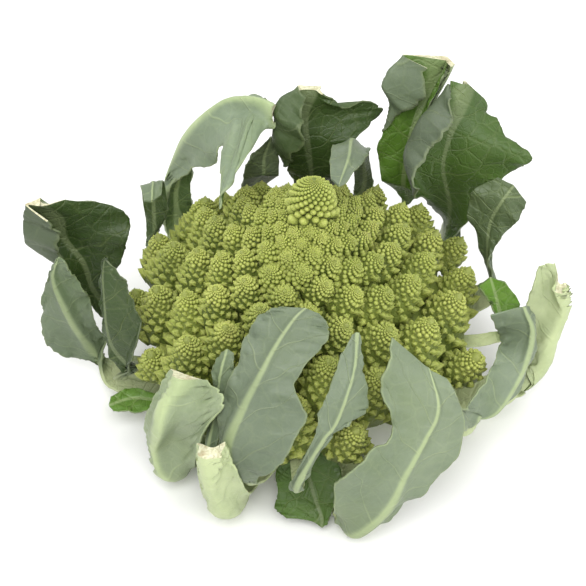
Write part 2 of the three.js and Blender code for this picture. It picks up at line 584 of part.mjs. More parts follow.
function leaf({ rows, thick, cutWidth, wave = 0 }) {
  const net = controlRows(rows);
  const stalks = rows.filter((row) => row.centre).length;
  const lastRow = rows.length - 1;
  const stations = [];
  const step = thick[0] > 5 ? 0.5 : 1;
  for (let t = 0; t < lastRow; t += t < stalks - 1 ? 1 : step) stations.push(t);
  stations.push(lastRow);
  const ribStart = rows[stalks - 1].width * 0.36;
  const ribEnd = cutWidth ? cutWidth / 2 : 1.2;
  const columns = stations.map((t, k) => {
    const cross = [0, 1, 2, 3, 4].map((j) => spline(net.map((row) => row[j]), t));
    const share = THREE.MathUtils.clamp((t - stalks + 1) / (lastRow - stalks + 1), 0, 1);
    const ribHalf = ribStart + (ribEnd - ribStart) * share;
    const near = (a, b) => THREE.MathUtils.clamp(2 * ribHalf / Math.max(a.distanceTo(b), 1), 0.3, 1.1);
    const at = [0, 1.1 - 0.4 * near(cross[0], cross[2]), 2 - near(cross[0], cross[2]), 2,
      2 + near(cross[4], cross[2]), 2.9 + 0.4 * near(cross[4], cross[2]), 4];
    const points = at.map((u) => spline(cross, u));
    const lift = share > 0 && share < 1 ? wave * (k % 2 ? 1 : -1) : 0;
    return { points, share, lift };
  });
  columns[0].points = columns[0].points.map((p) => {
    const k = (STUMP_RADIUS + 0.4) / Math.hypot(p.x, p.y);
    return new THREE.Vector3(p.x * k, p.y * k, p.z);
  });
  // Outward normals from the grid's own differences.
  const grid = columns.map((c) => c.points);
  const normalAt = (i, j) => {
    const across = grid[i][Math.min(j + 1, 6)].clone().sub(grid[i][Math.max(j - 1, 0)]);
    const along = grid[Math.min(i + 1, grid.length - 1)][j].clone()
      .sub(grid[Math.max(i - 1, 0)][j]);
    return across.cross(along).normalize();
  };
  const inner = [];
  const outer = [];
  columns.forEach(({ share, lift }, i) => {
    const rib = share > 0 ? thick[1] + (thick[2] - thick[1]) * share : thick[0];
    const side = share > 0 ? BLADE : thick[0] * 0.4;
    for (const j of ACROSS) {
      const normal = normalAt(i, j);
      const edge = Math.abs(j - 3);
      const shiftBy = edge === 3 ? lift : edge === 2 ? -0.4 * lift : 0;
      const p = clearOfHead(grid[i][j].clone().addScaledVector(normal, shiftBy));
      const depth = edge === 0 ? rib : edge === 1 ? Math.max(rib * 0.6, side) : side;
      inner.push(p);
      outer.push(p.clone().addScaledVector(normal, depth));
    }
  });
  const points = [...inner, ...outer];
  const o = inner.length;
  const w = ACROSS.length;
  const n = columns.length;
  const faces = [];
  for (let i = 0; i < n - 1; i++) {
    for (let j = 0; j < w - 1; j++) {
      const [a, b, c, d] = [i * w + j, i * w + j + 1, (i + 1) * w + j + 1, (i + 1) * w + j];
      faces.push([a, d, b], [b, d, c], [o + a, o + b, o + d], [o + b, o + c, o + d]);
    }
    const [a, d] = [i * w, (i + 1) * w];
    const [b, c] = [a + w - 1, d + w - 1];
    faces.push([a, o + a, d], [o + a, o + d, d], [b, c, o + b], [o + b, c, o + c]);
  }
  for (let j = 0; j < w - 1; j++) {
    const [a, b] = [j, j + 1];
    const [c, d] = [(n - 1) * w + j, (n - 1) * w + j + 1];
    faces.push([a, b, o + a], [b, o + b, o + a], [c, o + c, d], [d, o + c, o + d]);
  }
  return toSolid(points, faces);
}

const romanesco = new THREE.Group();
romanesco.name = 'romanesco_head';

function addPiece(name, solid, color, roughness) {
  const material = new THREE.MeshStandardMaterial({ color, roughness, metalness: 0 });
  const mesh = new THREE.Mesh(solidToGeometry(solid), material);
  mesh.name = name;
  romanesco.add(mesh);
}

addPiece('stem', stem(), 0xc9d2a0, 0.6);
addPiece('curd', curd(), 0xa9b35e, 0.65);
for (const one of LEAVES) addPiece(one.name, leaf(one), 0x8c9c80, 0.5);

export default romanesco;
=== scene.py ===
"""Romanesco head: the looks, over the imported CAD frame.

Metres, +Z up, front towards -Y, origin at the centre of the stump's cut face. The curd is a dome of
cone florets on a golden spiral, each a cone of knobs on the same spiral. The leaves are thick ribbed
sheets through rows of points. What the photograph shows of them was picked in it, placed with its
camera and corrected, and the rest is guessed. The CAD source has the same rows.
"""
import math

import bpy
import numpy as np
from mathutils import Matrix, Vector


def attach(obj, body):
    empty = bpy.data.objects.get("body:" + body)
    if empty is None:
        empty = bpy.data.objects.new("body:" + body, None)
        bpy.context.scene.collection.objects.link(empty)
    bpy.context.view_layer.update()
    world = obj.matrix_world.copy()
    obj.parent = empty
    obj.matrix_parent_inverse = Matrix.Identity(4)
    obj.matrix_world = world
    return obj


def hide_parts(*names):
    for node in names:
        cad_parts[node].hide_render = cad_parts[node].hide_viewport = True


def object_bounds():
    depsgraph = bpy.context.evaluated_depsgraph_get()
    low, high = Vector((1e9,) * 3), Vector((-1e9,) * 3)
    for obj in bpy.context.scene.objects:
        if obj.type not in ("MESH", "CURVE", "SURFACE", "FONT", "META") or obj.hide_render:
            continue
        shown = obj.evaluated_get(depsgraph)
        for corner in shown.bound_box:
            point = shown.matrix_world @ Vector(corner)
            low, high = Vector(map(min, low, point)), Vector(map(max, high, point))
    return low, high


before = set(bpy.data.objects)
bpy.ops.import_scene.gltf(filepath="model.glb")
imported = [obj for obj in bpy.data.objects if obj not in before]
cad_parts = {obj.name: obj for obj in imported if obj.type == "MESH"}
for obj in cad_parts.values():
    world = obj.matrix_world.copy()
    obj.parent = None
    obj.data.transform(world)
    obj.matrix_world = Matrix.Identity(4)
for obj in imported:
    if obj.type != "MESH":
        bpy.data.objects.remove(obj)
cad_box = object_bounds()
MM = 0.001

# The dome of the head, in millimetres and degrees
APEX_HEIGHT = 154.5
APEX_SHIFT = (4, -3)
RIM_SHIFT_Y = 2
TOP_SLOPE = 38
RIM_SLOPE = 90
SLOPE_POWER = 3.2
HILL_STEEPNESS = 28
HILL_ARC = 16
HILL_WIDTH = 10
DOME_ARC = 153
DOME_STEPS = 292
BACK_FLATTENING = 0.93
CORNER_BULGE = 0.13
RIGHT_BULGE = 0.1
RIGHT_AZIMUTH = math.radians(-25)
RIM_FLOOR = 43
CURD_FLOOR = 52.4
CORE_RADIUS = 64

# The golden spiral
GOLD = math.radians(137.50776)
SPIRAL_START = 5.95
SPIRAL_GROWTH = 0.0157
SPIRAL_PHASE = math.radians(218.2)
FIRST_FLORET_ARC = 24.5
YOUNG_GROWTH = 0.0105
LAST_FLORET_ARC = 137
KNOB_GROWTH = 0.0165
CAP_SHARE = 0.13
FOOT_SHARE = 1.04
PIECE_TRIANGLES = 150000
SMALL_KNOB_FROM = 1.35
LARGE_KNOB_FROM = 1.9
ALL_LEVELS_FROM = 13
YOUNGEST_ARC = 1.3
FLORET_SLOPE = 65
FLORET_TILT = 12
YOUNG_TILT = 28
UPRIGHT_ARC = 62
LEAN_RIGHT = 0.1
TILT_STRAY = 6
SIDE_STRAY = 0.1
TIP_STRAY = 0.08
SIDE_BULGE = 0.16
FLORET_REACH = 0.56
FLORET_TURN = 2.4
LEAF_CLEARANCE = 1.5
LEAF_FLOOR = 0.6
BOX_MARGIN = 0.1
STALK_GAP = 0.4
BLADE = 0.85

# The stem
STUMP_RADIUS = 23.6
STUMP_HEIGHT = 34
CROWN_RIDGES = 6

# The camera, worked out from the photograph
LENS = 120.0
CAMERA_DISTANCE = 0.94
CAMERA_ELEVATION = math.radians(50)
CAMERA_TARGET = (-0.0055, 0.0005, 0.070)


def stalk(azimuth, radius, height, width):
    """A row of a leaf's stalk: its middle, and its width."""
    return {"centre": (azimuth, radius, height), "width": width}


def plan(name, thick, wave, cut, look, rows):
    """A leaf's name, rib, ruffle, width of its cut (0 for none), look and rows."""
    return {"name": "leaf_" + name, "thick": thick, "wave": wave, "cut": cut, "look": look, "rows": rows}


# Each row crosses a leaf: left edge, rib and right edge as seen from outside, each (azimuth, radius,
# height) on the inner face. A fourth point before the right edge is a fold. "thick" is the rib at the
# stalk, at the blade's base and at its end. "look" is how waxy the outer face is, how bright and how
# dull the inner face is, how pale both are, and how light against the other leaves: a brightness that
# is partly the leaf's own tone and partly painted light and shade for where the leaf sits.
LEAVES = [
    plan("front_right", (8, 4, 2), 1.5, 0, (1, 0.1, 0.4, 0.05, 0.88), [
        stalk(-67, 25, 10, 18), stalk(-70, 60, 11, 21), stalk(-74, 88, 10, 22),
        ((-81, 93, 16), (-76, 99, 10), (-69, 101, 14)),
        ((-83, 98, 50), (-69, 103, 31), (-63, 104, 28)),
        ((-72, 94, 65), (-63, 101, 51), (-54, 108, 42)),
        ((-64, 89, 73), (-56, 97, 63), (-46, 106, 58)),
        ((-65, 78, 88), (-50, 93, 74), (-43, 98, 72)),
        ((-54, 64, 103), (-46, 80, 86), (-43, 89, 82)),
    ]),
    plan("front_left", (7, 3.5, 2), 1, 0, (1, 0.1, 0.4, 0, 0.74), [
        stalk(-101, 25, 20, 15), stalk(-105, 60, 27, 17), stalk(-107, 84, 37, 16),
        ((-113, 93, 48), (-109, 94, 48), (-103, 94, 48)),
        ((-116, 90, 70), (-111, 94, 68), (-95, 94, 63)),
        ((-118, 80, 85), (-109, 85, 84), (-89, 83, 81)),
        ((-116, 69, 97), (-106, 74, 96), (-93, 73, 94)),
        ((-117, 60, 106), (-102, 62, 106), (-83, 62, 104)),
        ((-113, 52, 113), (-96, 53, 114), (-78, 55, 110)),
        ((-104, 48, 117), (-90, 48, 117), (-82, 50, 115)),
    ]),
    plan("front_stub", (8, 8, 8), 0, 14, (1, 0.2, 0.2, 0.7, 0.95), [
        stalk(-118, 25, 10, 19), stalk(-118, 60, 11, 26),
        ((-121, 92, 18), (-114, 90, 14), (-107, 85, 22)),
        ((-120, 99, 42), (-114, 99, 43), (-107, 101, 58)),
        ((-120, 99, 57), (-114, 102, 63), (-109, 100, 69)),
        ((-120, 99, 67), (-114, 102, 75), (-111, 99, 78)),
    ]),
    plan("left_stub", (7.5, 9, 9), 0, 12, (1, 0.2, 0.2, 0.2, 1.05), [
        stalk(-142, 25, 19, 18), stalk(-144, 58, 21, 24),
        ((-141, 90, 18), (-136, 87, 15), (-128, 83, 20)),
        ((-144, 94, 34), (-138, 90, 36), (-128, 88, 44), (-119, 94, 68)),
        ((-141, 94, 58), (-132, 93, 65), (-123, 90, 72), (-114, 87, 87)),
        ((-139, 89, 73), (-131, 86, 78), (-123, 84, 82), (-117, 83, 91)),
        ((-138, 83, 83), (-131, 81, 86), (-123, 80, 88)),
    ]),
    plan("left_scrap", (4, 2, 1.5), 0.4, 0, (0.9, 0.1, 0.5, 0, 0.8), [
        stalk(-130, 25, 33, 7), stalk(-125, 60, 36, 7), stalk(-121, 88, 39, 6),
        ((-120, 94, 50), (-118, 95, 50), (-116, 95, 50)),
        ((-122, 79, 81), (-120, 78, 82), (-116, 77, 84)),
        ((-125, 74, 88), (-121, 73, 90), (-117, 70, 92)),
        ((-124, 68, 96), (-122, 66, 98), (-119, 66, 97)),
    ]),
    plan("left_curled", (6, 3, 2), 0.8, 0, (0.9, 0.1, 0.1, 0, 0.5), [
        stalk(-163, 25, 27, 14), stalk(-166, 60, 29, 15), stalk(-169, 90, 32, 14),
        ((-163, 78, 50), (-166, 87, 38), (-166, 90, 34)),
        ((-164, 78, 62), (-169, 94, 50), (-169, 96, 44)),
        ((-170, 80, 74), (-171, 96, 62), (-173, 98, 56)),
        ((-174, 83, 82), (-175, 96, 76), (-177, 98, 68)),
        ((-177, 86, 88), (-179, 96, 86), (180, 98, 78)),
        ((179, 94, 92), (178, 95, 93), (177, 97, 88)),
    ]),
    plan("far_left_low", (8, 4, 2), 1.2, 0, (0.8, 0.1, 0.5, 0, 0.76), [
        stalk(-166, 25, 10, 19), stalk(-171, 60, 13, 23), stalk(-177, 92, 16, 22),
        ((-179, 112, 22), (179, 104, 22), (178, 98, 33)),
        ((180, 127, 28), (-179, 112, 48), (-180, 101, 44)),
        ((179, 129, 50), (-178, 116, 68), (-180, 103, 66)),
        ((-180, 124, 76), (-179, 119, 86), (-179, 108, 84)),
        ((-179, 117, 98), (-179, 115, 100), (-178, 112, 98)),
    ]),
    plan("far_left_high", (7.5, 5, 5), 1.2, 8, (0.95, 0.1, 0, 0, 0.5), [
        stalk(168, 25, 19, 17), stalk(167, 62, 24, 20), stalk(166, 95, 28, 19),
        ((165, 99, 46), (167, 107, 42), (169, 111, 40)),
        ((163, 94, 62), (167, 111, 64), (170, 116, 68), (171, 115, 60)),
        ((162, 88, 78), (167, 119, 80), (173, 135, 90), (174, 116, 80)),
        ((158, 94, 92), (168, 120, 96), (172, 134, 103), (174, 114, 98)),
        ((166, 116, 107), (171, 126, 110), (171, 132, 110), (175, 120, 110)),
    ]),
    plan("low_left", (4, 2.5, 1.5), 0.6, 0, (0.1, 1, 0, 0, 1), [
        stalk(-152, 26, 33, 7), stalk(-152, 58, 31, 9),
        ((-162, 75, 22), (-159, 74, 21), (-155, 75, 21)),
        ((-168, 87, 20), (-164, 88, 19), (-158, 88, 19)),
        ((-165, 98, 22), (-163, 100, 20), (-161, 99, 19)),
    ]),
    plan("front_dark", (6, 3, 2), 0.8, 0, (0, 1, 0, 0, 0.45), [
        stalk(-80, 25, 28, 13), stalk(-84, 58, 33, 14),
        ((-90, 66, 32), (-86, 64, 32), (-79, 69, 34)),
        ((-100, 74, 28), (-89, 69, 26), (-76, 75, 28)),
        ((-100, 82, 18), (-87, 79, 16), (-77, 82, 20)),
        ((-99, 88, 12), (-85, 88, 9), (-82, 89, 12)),
        ((-88, 87, 7), (-85, 92, 6), (-83, 91, 7)),
    ]),
    plan("front_small", (4, 2.5, 1.5), 0.4, 0, (1, 0.2, 0.4, 0, 0.8), [
        stalk(-96, 25, 34, 7), stalk(-94, 60, 38, 7), stalk(-92, 88, 39.5, 6),
        ((-94, 96, 50), (-92, 97, 51), (-90, 96, 52)),
        ((-87, 86, 75), (-85, 88, 72), (-82, 87, 73)),
        ((-86, 80, 83), (-81, 85, 79), (-72, 83, 79)),
        ((-82, 74, 91), (-77, 79, 88), (-69, 80, 84)),
        ((-75, 63, 102), (-72, 70, 97), (-68, 70, 96)),
        ((-69, 59, 107), (-67, 59, 108), (-66, 60, 106)),
    ]),
    plan("right_hugging", (6, 3, 2), 1, 0, (1, 0.3, 0.3, 0, 0.92), [
        stalk(-35, 25, 19, 15), stalk(-34, 60, 23, 18), stalk(-33, 90, 31, 16),
        ((-40, 94, 58), (-34, 94, 44), (-31, 95, 38)),
        ((-35, 94, 56), (-28, 102, 41), (-24, 104, 34)),
        ((-19, 94, 56), (-17, 108, 51), (-13, 111, 44)),
        ((-8, 95, 53), (-10, 110, 64), (-6, 112, 58)),
        ((-11, 88, 74), (-8, 104, 78), (-5, 107, 72)),
    ]),
    plan("right_stub", (8, 8, 7), 0.6, 9, (1, 0.3, 0.3, 0.6, 0.95), [
        stalk(-14, 25, 10, 17), stalk(-14, 62, 13, 22), stalk(-11, 96, 18, 20),
        ((-4, 107, 24), (-3, 114, 22), (1, 121, 22)),
        ((-1, 107, 44), (0, 119, 40), (4, 128, 42)),
        ((0, 107, 66), (2, 123, 56), (4, 130, 54)),
        ((4, 113, 82), (2, 123, 70), (2, 127, 68)),
        ((4, 120, 84), (2, 123, 74), (2, 126, 74)),
    ]),
    plan("right_small", (4, 2, 1.5), 0.6, 0, (0.2, 1, 0, 0, 0.9), [
        stalk(-3, 25, 33, 7), stalk(-3, 62, 37, 7), stalk(-2, 90, 39.5, 7),
        ((0, 104, 48), (-1, 96, 48), (-1, 89, 48)),
        ((2, 105, 60), (1, 94, 60), (0, 81, 60)),
        ((3, 97, 72), (4, 90, 74), (1, 82, 72)),
    ]),
    plan("right_back", (6, 3.5, 2), 1.2, 0, (0.9, 0.3, 0.6, 0, 0.66), [
        stalk(16, 25, 27, 14), stalk(16, 62, 31, 15), stalk(16, 91, 37, 14),
        ((13, 95, 46), (17, 95, 46), (20, 94, 46)),
        ((16, 95, 64), (19, 95, 66), (22, 94, 64)),
        ((18, 101, 74), (22, 98, 80), (28, 90, 80)),
        ((18, 110, 84), (22, 103, 93), (29, 93, 94)),
        ((20, 115, 92), (23, 110, 100), (27, 104, 102)),
    ]),
    plan("back_right", (8, 9, 8), 1.5, 11, (0.9, 0.6, 0.1, 0, 0.56), [
        stalk(50, 25, 10, 19), stalk(51, 62, 14, 24), stalk(46, 96, 25, 23),
        ((36, 103, 55), (42, 99, 56), (49, 96, 57)),
        ((31, 112, 86), (42, 92, 92), (48, 76, 98), (27, 59, 110)),
        ((27, 126, 104), (42, 96, 112), (49, 79, 118), (35, 73, 122)),
        ((38, 120, 112), (43, 104, 124), (48, 95, 130), (37, 88, 132)),
        ((42, 119, 122), (44, 111, 134), (49, 106, 135)),
    ]),
    plan("back_right_inner", (6, 5, 4), 1, 6, (0.9, 0.9, 0, 0, 0.72), [
        stalk(70, 25, 27, 14), stalk(66, 60, 31, 15), stalk(59, 86, 38, 14),
        ((51, 85, 62), (54, 84, 62), (58, 83, 62)),
        ((50, 83, 84), (53, 82, 84), (60, 75, 82)),
        ((50, 89, 106), (54, 88, 106), (63, 79, 100)),
        ((51, 97, 122), (54, 99, 122), (61, 86, 128), (58, 85, 116)),
        ((51, 106, 134), (53, 106, 134), (63, 83, 140), (52, 92, 124)),
        ((51, 110, 141), (52, 109, 142), (60, 95, 149), (53, 100, 142)),
    ]),
    plan("back_flap", (4, 2, 1.5), 0.6, 0, (1, 0.2, 0.5, 0, 0.8), [
        stalk(82, 25, 33, 7), stalk(80, 60, 36, 7), stalk(75, 86, 39, 7),
        ((67, 90, 54), (70, 90, 54), (73, 89, 54)),
        ((66, 79, 92), (67, 74, 94), (72, 71, 94)),
        ((57, 57, 116), (67, 58, 120), (74, 52, 120)),
        ((45, 37, 132), (54, 34, 134), (69, 31, 134)),
        ((20, 20, 140), (17, 16, 140), (39, 15, 140)),
    ]),
    plan("back_centre", (7.5, 6, 5), 1.5, 7, (0.35, 0.3, 0.1, 0, 0.5), [
        stalk(92, 25, 19, 17), stalk(92, 60, 24, 21), stalk(91, 84, 33, 20),
        ((79, 77, 58), (87, 75, 58), (93, 77, 58)),
        ((75, 72, 82), (87, 69, 82), (97, 71, 84)),
        ((70, 76, 104), (88, 68, 102), (102, 64, 106), (96, 57, 100)),
        ((64, 95, 112), (89, 72, 116), (103, 63, 124), (89, 52, 118)),
        ((75, 78, 122), (88, 74, 127), (100, 69, 133), (90, 56, 130)),
        ((83, 75, 130), (87, 76, 132), (92, 73, 134), (89, 70, 132)),
    ]),
    plan("back_left_inner", (4, 2, 1.5), 0.6, 0, (0.8, 0.5, 0.9, 0, 0.85), [
        stalk(112, 25, 33, 7), stalk(112, 60, 36, 7), stalk(110, 86, 39, 7),
        ((105, 84, 56), (108, 84, 56), (112, 84, 56)),
        ((101, 67, 80), (108, 67, 82), (114, 75, 80)),
        ((101, 65, 98), (107, 67, 98), (115, 68, 96)),
        ((102, 67, 110), (104, 67, 110), (108, 67, 106)),
    ]),
    plan("back_left", (8, 7, 7), 1, 10, (1, 0.1, 0.2, 0, 1.1), [
        stalk(130, 25, 10, 18), stalk(130, 62, 15, 22), stalk(130, 93, 26, 21),
        ((126, 98, 52), (130, 102, 52), (133, 104, 50)),
        ((124, 98, 78), (126, 100, 80), (130, 90, 82)),
        ((121, 97, 90), (124, 91, 102), (127, 80, 103), (128, 71, 100)),
        ((112, 100, 106), (117, 84, 117), (122, 72, 120), (127, 65, 118)),
        ((109, 94, 114), (113, 78, 123), (120, 61, 126), (164, 43, 115)),
        ((103, 86, 120), (108, 70, 127), (117, 59, 130), (146, 41, 124)),
        ((106, 76, 124), (104, 63, 128), (108, 60, 127)),
    ]),
    plan("left_back_small", (4, 2, 1.5), 0.5, 0, (0.9, 0.1, 0.3, 0, 0.85), [
        stalk(148, 25, 33, 7), stalk(149, 60, 37, 7), stalk(148, 88, 40, 7),
        ((138, 94, 44), (141, 98, 44), (142, 102, 44)),
        ((137, 94, 62), (140, 99, 62), (142, 103, 62)),
        ((137, 95, 80), (140, 98, 80), (143, 102, 80)),
        ((144, 87, 84), (149, 87, 86), (150, 91, 86)),
    ]),
]


# Shape helpers, all in millimetres until a mesh is made

def noise_wave(t, seed, octaves=4):
    """A smooth wandering line between about -1 and 1: a few sines of rising pitch added up."""
    total = np.zeros_like(np.asarray(t, float))
    for k in range(octaves):
        pitch = 1.7 * 1.9 ** k
        total = total + np.sin(pitch * t + seed * (1.3 + 2.1 * k)) / 1.6 ** k
    return total / 2.2


def wobble(n, k):
    """A repeatable number between -1 and 1 for floret n: the fraction of a large sine."""
    value = np.sin(n * 12.9898 + k * 78.233) * 43758.5453
    return 2 * (value - np.floor(value)) - 1


def dome_table():
    """The dome's outline by arc length, summed from its slope: steep on the tip's hill and at the rim."""
    step = DOME_ARC / DOME_STEPS
    arc = np.arange(DOME_STEPS + 1) * step
    slope = (TOP_SLOPE + HILL_STEEPNESS * np.exp(-((arc - HILL_ARC) / HILL_WIDTH) ** 2)
             + (RIM_SLOPE - TOP_SLOPE) * (np.maximum(arc - step / 2, 0) / DOME_ARC) ** SLOPE_POWER)
    slope = np.radians(slope)
    r = np.cumsum(step * np.cos(slope)) - step * np.cos(slope[0])
    z = APEX_HEIGHT - np.cumsum(step * np.sin(slope)) + step * np.sin(slope[0])
    return arc, r, z, slope


ARCS, DOME_R, DOME_Z, DOME_SLOPE = dome_table()


def dome_at(arc):
    """Radius, height and slope of the dome at an arc length from its tip."""
    return np.interp(arc, ARCS, DOME_R), np.interp(arc, ARCS, DOME_Z), np.interp(arc, ARCS, DOME_SLOPE)


def lean(z):
    """Sideways shift of the head's middle at height z, from the rim to the tip."""
    k = np.clip((z - DOME_Z[-1]) / (APEX_HEIGHT - DOME_Z[-1]), 0, 1)
    return APEX_SHIFT[0] * k * k, RIM_SHIFT_Y + (APEX_SHIFT[1] - RIM_SHIFT_Y) * k


def head_reach(x, y):
    """How much further than the round dome the head reaches: at its two back corners and on the right."""
    r = np.maximum(np.hypot(x, y), 1e-6)
    corner = np.where(y > 0, (2 * x * y / r ** 2) ** 2, 0)
    right = np.maximum((x * math.cos(RIGHT_AZIMUTH) + y * math.sin(RIGHT_AZIMUTH)) / r, 0) ** 2
    return (1 + CORNER_BULGE * corner) * (1 + RIGHT_BULGE * right)


def place_on_head(p):
    """Widens, flattens and leans the head; p is an array of points round the dome's axis."""
    shift_x, shift_y = lean(p[..., 2])
    k = head_reach(p[..., 0], p[..., 1])
    y = np.where(p[..., 1] > 0, p[..., 1] * BACK_FLATTENING, p[..., 1])
    return np.stack([k * p[..., 0] + shift_x, k * y + shift_y, p[..., 2]], -1)


def clear_of_head(p):
    """Points inside the dome or closer than the clearance are pushed out, level with where they were."""
    shift_x, shift_y = lean(p[..., 2])
    x = p[..., 0] - shift_x
    y = p[..., 1] - shift_y
    y = np.where(y > 0, y / BACK_FLATTENING, y)
    r = np.maximum(np.hypot(x, y), 1e-6)
    least = np.interp(-p[..., 2], -DOME_Z, DOME_R) * head_reach(x, y) + LEAF_CLEARANCE
    least = np.where(p[..., 2] >= APEX_HEIGHT, 0, least)
    scale = np.where((p[..., 2] >= RIM_FLOOR - 2) & (r < least), least / r, 1)
    return np.stack([shift_x + (p[..., 0] - shift_x) * scale,
                     shift_y + (p[..., 1] - shift_y) * scale, p[..., 2]], -1)


def smooth(low, high, value):
    """0 below low, 1 above high, with an S curve between."""
    t = np.clip((value - low) / (high - low), 0, 1)
    return t * t * (3 - 2 * t)


def unit(v):
    """Vectors scaled to length one."""
    return v / np.maximum(np.linalg.norm(v, axis=-1, keepdims=True), 1e-9)


def build(name, points, faces, node, attributes=None, materials=(), face_material=None):
    """A smooth mesh object from arrays of points (mm) and triangles or quads, standing for one CAD node."""
    mesh = bpy.data.meshes.new(name)
    points = np.asarray(points, np.float32) * MM
    faces = np.asarray(faces, np.int32)
    sides = faces.shape[1]
    mesh.vertices.add(len(points))
    mesh.vertices.foreach_set("co", points.ravel())
    mesh.loops.add(faces.size)
    mesh.loops.foreach_set("vertex_index", faces.ravel())
    mesh.polygons.add(len(faces))
    mesh.polygons.foreach_set("loop_start", np.arange(len(faces), dtype=np.int32) * sides)
    mesh.polygons.foreach_set("use_smooth", np.ones(len(faces), bool))
    for material in materials:
        mesh.materials.append(material)
    if face_material is not None:
        mesh.polygons.foreach_set("material_index", np.asarray(face_material, np.int32))
    mesh.update(calc_edges=True)
    for key, values in (attributes or {}).items():
        layer = mesh.attributes.new(key, "FLOAT", "POINT")
        layer.data.foreach_set("value", np.asarray(values, np.float32).ravel())
    mesh.validate()
    piece = bpy.data.objects.new(name, mesh)
    bpy.context.scene.collection.objects.link(piece)
    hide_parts(node)
    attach(piece, "root")
    return piece


# The curd

# The height mark colours the curd: painted shade in the hollows, and on the tips a paler colour that is
# partly a painted highlight.
def bump_template(count, steps, growth, slope, lift, cut):
    """A unit cone of spiral bumps as points, triangles and a height mark (1 on tips, 0 in hollows).

    Bump i stands at radius exp(growth * (i - count + 1)) and angle i times the golden angle, on a cone
    that falls tan(slope) per unit of radius. Its six foot corners are the middles of the lattice's
    triangles. Corners inside the first bumps merge in the cone's tip. `cut` sinks the outer skirt.
    """
    a, b = steps
    radius = lambda i: math.exp(growth * (i - count + 1))
    fall = math.tan(math.radians(slope))
    points = [(0.0, 0.0, lift * 0.3)]
    marks = [1.0]
    index = {}
    faces = []

    def vertex(key, r, angle, up, mark):
        if key not in index:
            index[key] = len(points)
            points.append((r * math.cos(angle), r * math.sin(angle), up - r * fall))
            marks.append(mark)
        return index[key]

    def hollow(kind, i):
        if i < 0:
            return 0
        three = (i, i + a, i + a + b) if kind == 1 else (i, i + b, i + a + b)
        x = sum(math.cos(GOLD * j) for j in three)
        y = sum(math.sin(GOLD * j) for j in three)
        r = sum(radius(j) for j in three) / 3
        return vertex((kind, i), min(r, 1.15), math.atan2(y, x), -lift * r * 0.45, 0.0)

    for i in range(count):
        top = vertex(("tip", i), radius(i), GOLD * i, lift * radius(i), 1.0)
        ring = (hollow(1, i), hollow(2, i), hollow(1, i - a),
                hollow(2, i - a - b), hollow(1, i - a - b), hollow(2, i - b))
        faces += [(top, ring[(k + 1) % 6], ring[k]) for k in range(6) if ring[k] != ring[(k + 1) % 6]]
    edges = {(f[k], f[(k + 1) % 3]) for f in faces for k in range(3)}
    root = len(points)
    points.append((0.0, 0.0, -fall - cut))
    marks.append(0.0)
    faces += [(q, p, root) for p, q in sorted(edges) if (q, p) not in edges]
    return np.array(points), np.array(faces), np.array(marks)


def bead_template(sides, profile):
    """A small round knob: a tip and rings of points by (radius, height, mark), closed at its foot."""
    turn = np.arange(sides) * 2 * math.pi / sides
    points, marks, faces = [np.array([[0, 0, profile[0][1]]])], [profile[0][2]], []
    k = np.arange(sides)
    n = (k + 1) % sides
    for level, (radius, height, shade) in enumerate(profile[1:-1]):
        shift = turn + level * math.pi / sides
        points.append(np.stack([radius * np.cos(shift), radius * np.sin(shift), 0 * turn + height], -1))
        marks += [shade] * sides
        here = 1 + level * sides
        if level == 0:
            faces.append(np.stack([0 * k, here + k, here + n], -1))
        else:
            above = here - sides
            faces += [np.stack([above + k, here + k, above + n], -1),
                      np.stack([above + n, here + k, here + n], -1)]
    foot = 1 + (len(profile) - 2) * sides
    points.append(np.array([[0, 0, profile[-1][1]]]))
    faces.append(np.stack([foot - sides + n, foot - sides + k, 0 * k + foot], -1))
    return np.concatenate(points), np.concatenate(faces), np.array(marks + [profile[-1][2]])


# Each ring's last number is its height mark: painted shade at the foot, a partly painted highlight at the
# tip.
BEAD = bead_template(8, [(0, 1.1, 1), (0.3, 0.92, 0.9), (0.58, 0.5, 0.6), (0.68, 0, 0.2), (0.6, -0.5, 0),
                         (0, -0.6, 0)])
ROUND = bead_template(8, [(0, 0.98, 1), (0.42, 0.84, 0.95), (0.76, 0.45, 0.7), (0.88, -0.1, 0.2),
                          (0.7, -0.6, 0), (0, -0.7, 0)])
SMALL_KNOB = bump_template(6, (2, 3), 0.25, 58, 0.42, 0.2)
LARGE_KNOB = bump_template(9, (3, 5), 0.13, 58, 0.36, 0.2)


def spread(template, places, axes, sizes, turns):
    """Copies of a template: each point is scaled, turned about its own axis and moved into place."""
    points, faces, marks = template
    side = unit(np.cross(axes, np.array([0.31, 0.17, 0.93])))
    other = np.cross(axes, side)
    c = np.cos(turns)[:, None]
    s = np.sin(turns)[:, None]
    u = side * c + other * s
    v = np.cross(axes, u)
    p = points[None]
    out = (places[:, None] + sizes[:, None, None] * (
        p[..., :1] * u[:, None] + p[..., 1:2] * v[:, None] + p[..., 2:] * axes[:, None]))
    count = len(points)
    all_faces = faces[None] + (np.arange(len(places)) * count)[:, None, None]
    return out.reshape(-1, 3), all_faces.reshape(-1, 3), np.tile(marks, len(places))


class Heap:
    """Points, faces and marks gathered from many small meshes, to become one piece."""

    def __init__(self):
        self.points, self.faces, self.marks, self.count = [], [], {}, 0

    def add(self, points, faces, **marks):
        self.points.append(points)
        self.faces.append(faces + self.count)
        self.count += len(points)
        for key, value in marks.items():
            self.marks.setdefault(key, []).append(np.broadcast_to(value, len(points)))

    def triangles(self):
        return sum(len(f) for f in self.faces)

    def piece(self, name, material):
        marks = {key: np.concatenate(parts) for key, parts in self.marks.items()}
        return build(name, np.concatenate(self.points), np.concatenate(self.faces), "curd",
                     attributes=marks, materials=[material])


